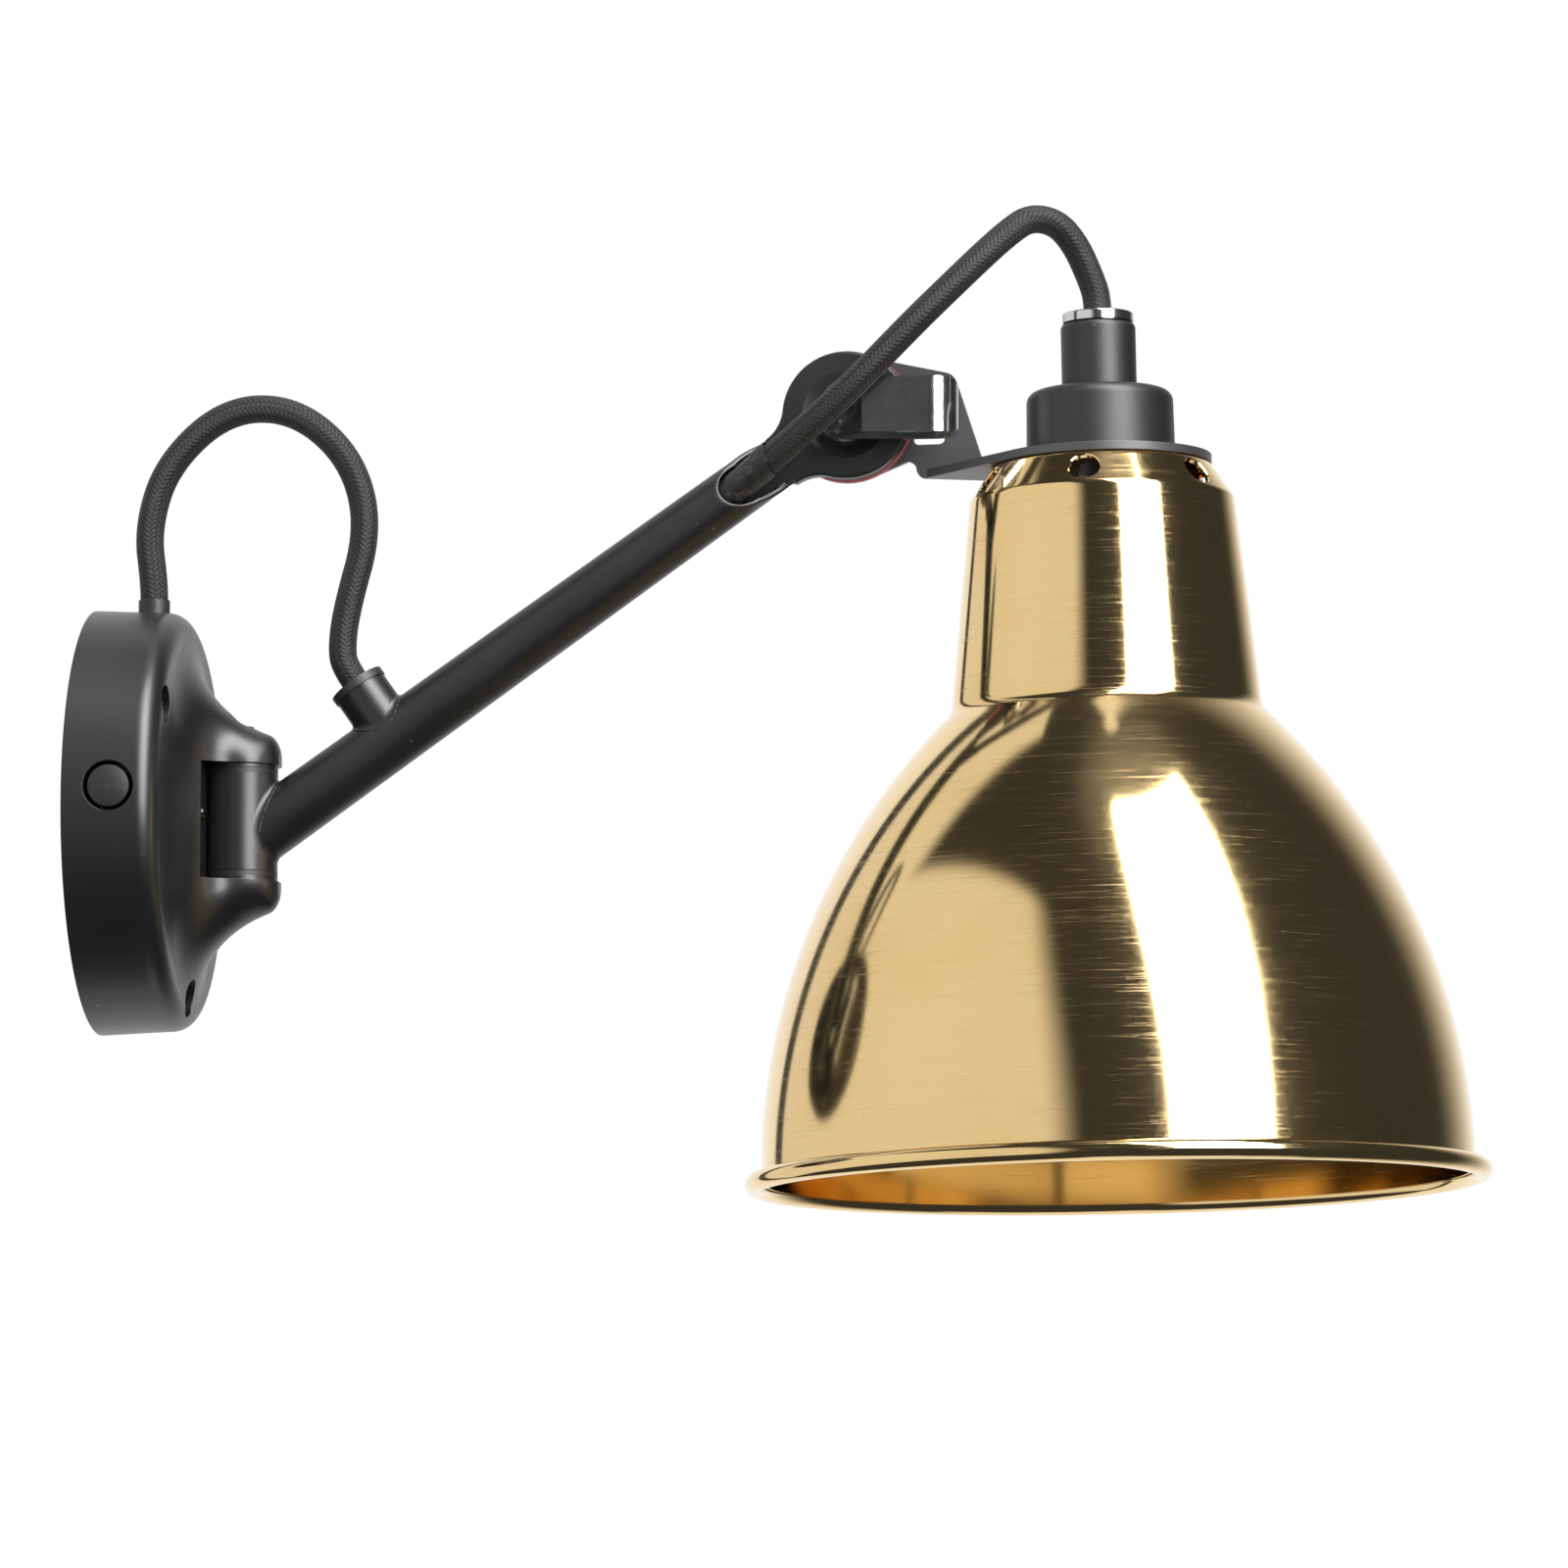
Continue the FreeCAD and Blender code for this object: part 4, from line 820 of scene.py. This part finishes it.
def scoop_lip(material):
    """The rolled lip of the scoop, laid on the slanted cut that opens the arm's tube.

    In the plane of the cut, rays go out from the middle of the cord's way. The lip reaches from the wider of
    that way and the tube's bore to the tube's outside, each found where the ray meets its ellipse. Across, it
    is half an ellipse above the cut. It thins out to a point at both ends.
    """
    fall, crown, thinning = 0.552730, 0.6, 0.04
    slope, turn, end = math.atan(fall), CORD_TURN, math.radians(154.0)
    run, drop = math.cos(slope), math.sin(slope)
    wall, way, bore = arm_radius(CUT_START), 0.003650, 0.0040
    steep = run * math.sin(turn) + drop * math.cos(turn)
    middle = (wall * math.cos(turn) - (CUT_START - WAY_TURN) * math.sin(turn)) / steep
    depth = middle * drop - wall
    ray = np.linspace(-1.0, 1.0, 180)
    ahead, up = -np.cos(ray * end), np.sin(ray * end)

    def meets(radius):
        a, b = (ahead * drop) ** 2 + up ** 2, depth * ahead * drop
        return (np.sqrt(b * b - a * (depth ** 2 - radius ** 2)) - b) / a

    inner = np.maximum(way / np.hypot(steep * ahead, up), meets(bore))
    outer = meets(wall)
    outer = meets(arm_radius(CUT_START + (middle + outer * ahead) * run) - SINK)
    thin = np.sqrt(np.clip((1.0 - np.abs(ray)) / thinning, 0.0, 1.0))
    u = np.linspace(0.0, math.pi, 13)[:, None]
    half = 0.5 * (outer - inner) * thin
    reach = np.concatenate([-np.cos(u) * half, 0.0 * half[None], -half[None]]) + 0.5 * (outer + inner)
    height = np.concatenate([np.sin(u) * crown * half, -0.1 * half[None], 0.0 * half[None]])
    along = CUT_START + (middle + reach * ahead) * run + height * drop
    across = (middle + reach * ahead) * drop - wall - height * run
    lip = on_arm(along, across, reach * up)
    piece("scoop_lip", [(lip, False, True)], material, "arm", sharp=70.0)


def sleeve_patches():
    """The heat-shrunk sleeve round the cord where it leaves the arm.

    Its radius swells a little towards the free end, is drawn out more along one direction there, as a sleeve
    is that was pinched flat before it shrank, and carries crumples that are sums of sines of the length and
    the angle. Its free end is cut on a slant, which adds to the length by the cosine of the angle from its
    highest side.
    """
    turn, tip = CORD_TURN, 1.95
    start, length = 0.0030, 0.0118
    angle = ring(72)[None, :]
    share = np.linspace(0.0, 1.0, 44)[:, None]
    pinch = share ** 2 * (0.00004 + 0.00036 * np.cos(angle - tip).clip(0.0) ** 4)
    crumple = 0.00005 * (np.sin(11.0 * share + 3.0 * angle) + np.sin(21.0 * share - 2.0 * angle + 1.0)
                         + 0.7 * np.sin(39.0 * share + 5.0 * angle))
    slant = 0.0011 * share * np.cos(angle - tip)
    reach = start + share * length + slant
    outside, inside = 0.00302 + pinch + crumple, 0.00274 + pinch + crumple
    axis, side = np.array([math.cos(turn), -math.sin(turn)]), np.array([math.sin(turn), math.cos(turn)])

    def wall(radius):
        across, up = radius * np.cos(angle), radius * np.sin(angle)
        return on_arm(WAY_TURN + reach * axis[0] + across * side[0], reach * axis[1] + across * side[1], up)

    outer, inner = wall(outside), wall(inside)
    return [(outer, True, True), (inner, True, False),
            (np.stack([inner[0], outer[0]]), True, True), (np.stack([outer[-1], inner[-1]]), True, True)]


def dress(material, *nodes):
    """Gives nodes of the frame a finish."""
    for node in nodes:
        NODES[node].material_slots[0].material = material


class WALLLAMP_OT_camera(bpy.types.Operator):
    """Stands the camera where the photograph was taken from"""
    bl_idname = "walllamp.camera"
    bl_label = "Camera"

    def execute(self, context):
        settings = context.scene.walllamp_studio
        camera = bpy.data.cameras.new("Camera")
        camera.sensor_width = 36.0
        camera.lens = settings.lens
        camera.clip_start, camera.clip_end = 0.05, 50.0
        ahead = -toward(settings.azimuth, -settings.pitch)
        right = np.array([math.cos(settings.azimuth), math.sin(settings.azimuth), 0.0])
        context.scene.camera = stood("Camera", camera, right, np.cross(right, ahead), -ahead, settings.camera)
        return {"FINISHED"}


class WALLLAMP_OT_cords(bpy.types.Operator):
    """Lays the braided cord: two free stretches and the hidden ones"""
    bl_idname = "walllamp.cords"
    bl_label = "Cords"

    def execute(self, context):
        settings = context.scene.walllamp_cord
        cover = braid("braided cover", settings)
        outlet = np.array([0.010, 0.0, 0.0427])
        mouth = on_arm(BOSS_PLACE, 0.0, 0.0127)
        loop = [outlet, outlet + [0.0, 0.0, 0.0032], (0.0085, 0.0, 0.0565), (0.0122, 0.0, 0.0690),
                (0.0236, 0.0, 0.0794), (0.0368, 0.0, 0.0794), (0.0478, 0.0, 0.0700), (0.0516, 0.0, 0.0565),
                (0.0470, 0.0, 0.0400), (0.0462, 0.0, 0.0320), mouth + 0.0032 * ARM_UP, mouth]
        free_cord("loop_cord", loop, "base_loop_cord",
                  settings, cover)
        run, side = math.cos(CORD_TURN), math.sin(CORD_TURN)
        leave = [on_arm(WAY_TURN + d * run, -d * side, 0.0) for d in (0.0155, 0.0315)]
        route = [(0.0136, -0.0142, 0.0140), (0.0212, -0.0128, 0.0216), (0.0272, -0.0108, 0.0278),
                 (0.0316, -0.0087, 0.0323), (0.0358, -0.0066, 0.0358), (0.0408, -0.0042, 0.0352),
                 (0.0443, -0.0022, 0.0311), (0.0468, -0.0008, 0.0253)]
        holder = SHADE_TOP + [0.0, 0.0, 0.0293]
        enter = [leaned(holder + [0.0, 0.0, rise]) for rise in (0.0032, 0.0)]
        free_cord("joint_cord", leave + [PIVOT + p for p in route] + enter, "head_cord",
                  settings, cover)
        feed = [(0.010, 0.0, -0.009), (0.010, 0.0, 0.008), (0.010, 0.0, 0.026), outlet]
        obj, _, _ = cord_tube("feed_cord_cover", route_line("feed", np.asarray(feed)), settings, cover)
        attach(obj, "base")
        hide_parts("feed_cord")
        up_arm = ARM_ROOT, (0.0, math.pi / 2 - ARM_SLOPE, 0.0)
        dress(hidden_braid("hidden braid arm", settings, *up_arm), "arm_cord")
        dress(hidden_braid("hidden braid holder", settings, *SHADE_AXIS), "holder_cord")
        return {"FINISHED"}


class WALLLAMP_OT_shade(bpy.types.Operator):
    """Spins the brass shade with its vents and bead"""
    bl_idname = "walllamp.shade"
    bl_label = "Shade"

    def execute(self, context):
        settings = context.scene.walllamp_shade
        brass = spun_brass("spun brass", settings)
        obj = piece("spun_shade", shade_patches(settings), brass, "head", sharp=40.0)
        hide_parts("shade")
        return {"FINISHED"}


class WALLLAMP_OT_coated(bpy.types.Operator):
    """Coats the base, the arm, the bracket and the lamp holder, and draws the welds of the arm"""
    bl_idname = "walllamp.coated"
    bl_label = "Coated metal"

    def execute(self, context):
        settings = context.scene.walllamp_coat
        black = satin_coat("satin black", settings.black, settings.black_pale, settings.roughness, 0.0000075)
        dress(black, "wall_base", "arm_knuckle", "arm_tube", "cord_boss", "arm_eye")
        # The bracket gets a lit copy of the black coat: paler grey as a painted reflection of the strip light
        lit_bracket_pale, matt_pale = shaded(settings.bracket, 1.3), shaded(settings.holder, 1.3)
        thin = satin_coat("thin black", settings.bracket, lit_bracket_pale, settings.roughness + 0.06, 0.0000075)
        dress(thin, "bracket")
        matt = satin_coat("matt black", settings.holder, matt_pale, settings.roughness + 0.1, 0.000011)
        dress(matt, "holder_cup", "holder_neck")
        arm_root_seam(black)
        boss_foot_seam(black)
        scoop_lip(black)
        return {"FINISHED"}


class WALLLAMP_OT_bright(bpy.types.Operator):
    """Finishes the chromed lever and ring, the steel fixings and the brass of the socket"""
    bl_idname = "walllamp.bright"
    bl_label = "Bright metal"

    def execute(self, context):
        settings = context.scene.walllamp_coat
        dress(chrome_plate("chrome", settings.chrome), "clamp_lever", "clamp_nut", "cord_grip_ring")
        steel, outwards = settings.steel, (np.zeros(3), (0.0, math.pi / 2, 0.0))
        sideways, upwards = (PIVOT, (math.pi / 2, 0.0, 0.0)), (HINGE, (0.0, 0.0, 0.0))
        for name, tone, roughness, axis, pitch, *nodes in (
                ("steel at joint", steel, 0.24, sideways, 0.00022, "pivot_bolt", "clamp_washer"),
                ("steel at hinge", steel, 0.26, upwards, 0.00022, "hinge_pin"),
                ("steel screws", steel, 0.3, outwards, 0.0003, "terminal_screws", "block_screw"),
                ("dark steel", (0.09, 0.09, 0.10), 0.36, outwards, 0.0003, "hinge_set_screw"),
                ("contact brass", (0.80, 0.60, 0.30), 0.22, SHADE_AXIS, 0.0002, "centre_contact")):
            dress(turned_metal(name, tone, roughness, *axis, pitch, 0.000004), *nodes)
        dress(threaded_brass("threaded brass", *SHADE_AXIS), "socket_shell")
        return {"FINISHED"}


class WALLLAMP_OT_moulded(bpy.types.Operator):
    """Finishes the plastic, rubber and fibre pieces and crumples the heat-shrunk sleeve"""
    bl_idname = "walllamp.moulded"
    bl_label = "Plastic, rubber and fibre"

    def execute(self, context):
        for name, tone, roughness, grain, depth, *nodes in (
                ("button plastic", (0.0078, 0.0082, 0.0094), 0.48, 2400.0, 0.000012, "push_button"),
                ("washer plastic", (0.010, 0.010, 0.011), 0.45, 2000.0, 0.00001, "hinge_washers"),
                ("socket plastic", (0.011, 0.010, 0.010), 0.26, 1200.0, 0.000006, "lamp_socket", "shade_nut"),
                ("switch plastic", (0.016, 0.016, 0.017), 0.36, 1800.0, 0.00001, "switch_body"),
                ("terminal plastic", (0.66, 0.65, 0.60), 0.38, 1500.0, 0.00001, "terminal_block")):
            dress(moulded(name, tone, roughness, grain, depth), *nodes)
        dress(rubber("outlet rubber", (0.017, 0.017, 0.018)), "outlet_sleeve", "boss_ring")
        dress(pressed_fibre("red fibre", context.scene.walllamp_coat.fibre), "friction_washer")
        dark = shrunk_sleeve("shrunk sleeve")
        sleeve = piece("shrunk_sleeve", sleeve_patches(), dark, "arm", sharp=45.0)
        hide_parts("heat_shrink")
        return {"FINISHED"}


def toward(across, up):
    """The direction at an azimuth from the front and an elevation, in radians."""
    level, rise = np.cos(up), np.sin(up) + 0.0 * across
    return np.stack([level * np.sin(across), -level * np.cos(across), rise], axis=-1)


def glow(name, tone, strength, fade=None):
    """A card that shines, evenly or by a share that goes by its azimuth and elevation in radians."""
    finish = Finish(name)
    shine = colour(tone)
    if fade:
        x, y, z = finish.parts(finish.turned(CARD_CENTRE, (0.0, 0.0, 0.0)))
        across = x.maths("ARCTAN2", x, 0.0 - y)
        up = z.maths("ARCTAN2", z, (x * x + y * y).root())
        shine = finish.blend(fade(across, up), (0.05, 0.05, 0.05), tone)
    return finish.surface({"Base Color": (0.0, 0.0, 0.0, 1.0), "Roughness": 1.0, "Specular IOR Level": 0.0,
                           "Emission Color": shine, "Emission Strength": strength})


def card(name, azimuths, heights, radius, material, widen=0.0):
    """A curved card round the shade: part of a sphere between two azimuths from the front and two elevations.

    It widens by a share of the elevation's square. It is seen in reflections only.
    """
    up = np.radians(np.linspace(*heights, 24))[:, None]
    middle, half = np.radians(sum(azimuths) / 2.0), np.radians(azimuths[1] - azimuths[0]) / 2.0
    across = middle + half * np.linspace(-1.0, 1.0, 48)[None, :] * (1.0 + widen * up ** 2)
    obj = piece(name, [(CARD_CENTRE + radius * toward(across, up), False, False)], material)
    obj.visible_camera = obj.visible_diffuse = obj.visible_shadow = obj.visible_transmission = False


class WALLLAMP_OT_stage(bpy.types.Operator):
    """Sets up the pale floor, the soft light and the cards that the polished metal mirrors"""
    bl_idname = "walllamp.stage"
    bl_label = "Studio"

    def execute(self, context):
        settings = context.scene.walllamp_studio
        context.scene.view_settings.view_transform = "Standard"
        self.floor(settings)
        context.scene.world = self.world(settings)
        cool, white, soft = (0.88, 0.93, 1.0), (1.0, 1.0, 1.0), (1.0, 0.985, 0.95)
        card("dark_surround", (-140.0, 126.0), (-86.0, 88.0), 2.6, glow("dark card", cool, 0.05))
        card("edge_card", (126.0, 168.0), (-60.0, 88.0), 2.6,
             glow("edge card", white, 1.0, lambda across, up: across.step(2.24, 3.00)))
        card("strip_box", (21.4, 54.0), (0.0, 70.0), 2.2, glow("strip light", white, settings.strip), 0.7)
        card("side_card", (-133.0, -4.0), (-30.0, 70.0), 2.3, glow("soft card", soft, 0.86, self.soft_edge))
        self.lamp("Key", settings.key, 1.4, 38.0, 50.0)
        self.lamp("Fill", settings.key * 0.4, 1.4, -65.0, 25.0)
        self.lamp("Overhead", settings.key * 3.4, 1.5, 30.0, 72.5)
        return {"FINISHED"}

    def soft_edge(self, across, up):
        """The soft card fades to the front, sooner the higher up, and has an arched top, but for its back."""
        front = (across + up * up * 0.45).step(-0.10, -0.34)
        bend = across + 0.87
        arch, back = (up + bend * bend * 0.26).step(0.885, 0.825), across.step(-1.62, -1.78)
        return front * arch.most(back)

    def floor(self, settings):
        """A pale floor that runs out into the white background."""
        finish = Finish("pale floor")
        x, y, _ = finish.parts(finish.place())
        grain = finish.noise(30.0, 4.0)
        finish.surface({
            "Base Color": finish.blend(grain, (0.84, 0.84, 0.83), (0.87, 0.87, 0.86)), "Roughness": 0.7,
            "Alpha": (x * x + y * y).root().step(1.7, 0.5)})
        span = np.linspace(-1.8, 1.8, 3)
        x, y = np.meshgrid(span, span, indexing="ij")
        ground = np.stack([x, y, np.full_like(x, settings.floor)], axis=-1)
        obj = piece("floor", [(ground, False, False)], finish.data)
        obj.visible_glossy = False

    def world(self, settings):
        """A white background where it is seen or mirrored, and a plain level of light from all around."""
        finish = Finish("World", "worlds", "Background")
        ray = finish.node("ShaderNodeLightPath", out="Is Camera Ray")
        seen = ray.most(ray.other("Is Glossy Ray")).most(ray.other("Is Transmission Ray"))
        return finish.surface({"Color": colour((1.0, 1.0, 1.0)),
                               "Strength": settings.ambient + seen * (1.0 - settings.ambient)})

    def lamp(self, name, power, size, azimuth, height):
        """A round soft light behind the cards, at an azimuth from the front and an elevation in degrees."""
        light = bpy.data.lights.new(name, "AREA")
        light.shape, light.size, light.energy = "DISK", size, power
        away = toward(math.radians(azimuth), math.radians(height))
        side = unit(np.cross(UPRIGHT, away))
        stood(name, light, side, np.cross(away, side), away, CARD_CENTRE + 3.0 * away)


OPERATORS = (WALLLAMP_OT_camera, WALLLAMP_OT_cords, WALLLAMP_OT_shade, WALLLAMP_OT_coated, WALLLAMP_OT_bright,
             WALLLAMP_OT_moulded, WALLLAMP_OT_stage)


class WALLLAMP_PT_panel(bpy.types.Panel):
    """Lists the steps that dress the wall lamp"""
    bl_idname = "WALLLAMP_PT_panel"
    bl_label = "Wall Lamp"
    bl_space_type = "VIEW_3D"
    bl_region_type = "UI"
    bl_category = "Wall Lamp"

    def draw(self, context):
        for operator in OPERATORS:
            self.layout.operator(operator.bl_idname)


SETTINGS = {"walllamp_cord": CordSettings, "walllamp_shade": ShadeSettings, "walllamp_coat": CoatSettings,
            "walllamp_studio": StudioSettings}
CLASSES = (*SETTINGS.values(), *OPERATORS, WALLLAMP_PT_panel)


def register():
    for cls in CLASSES:
        bpy.utils.register_class(cls)
    for name, group in SETTINGS.items():
        setattr(bpy.types.Scene, name, PointerProperty(type=group))


def unregister():
    for name in SETTINGS:
        delattr(bpy.types.Scene, name)
    for cls in reversed(CLASSES):
        bpy.utils.unregister_class(cls)


def main():
    register()
    for step in ("camera", "cords", "shade", "coated", "bright", "moulded", "stage"):
        getattr(bpy.ops.walllamp, step)()


if __name__ == "__main__":
    main()
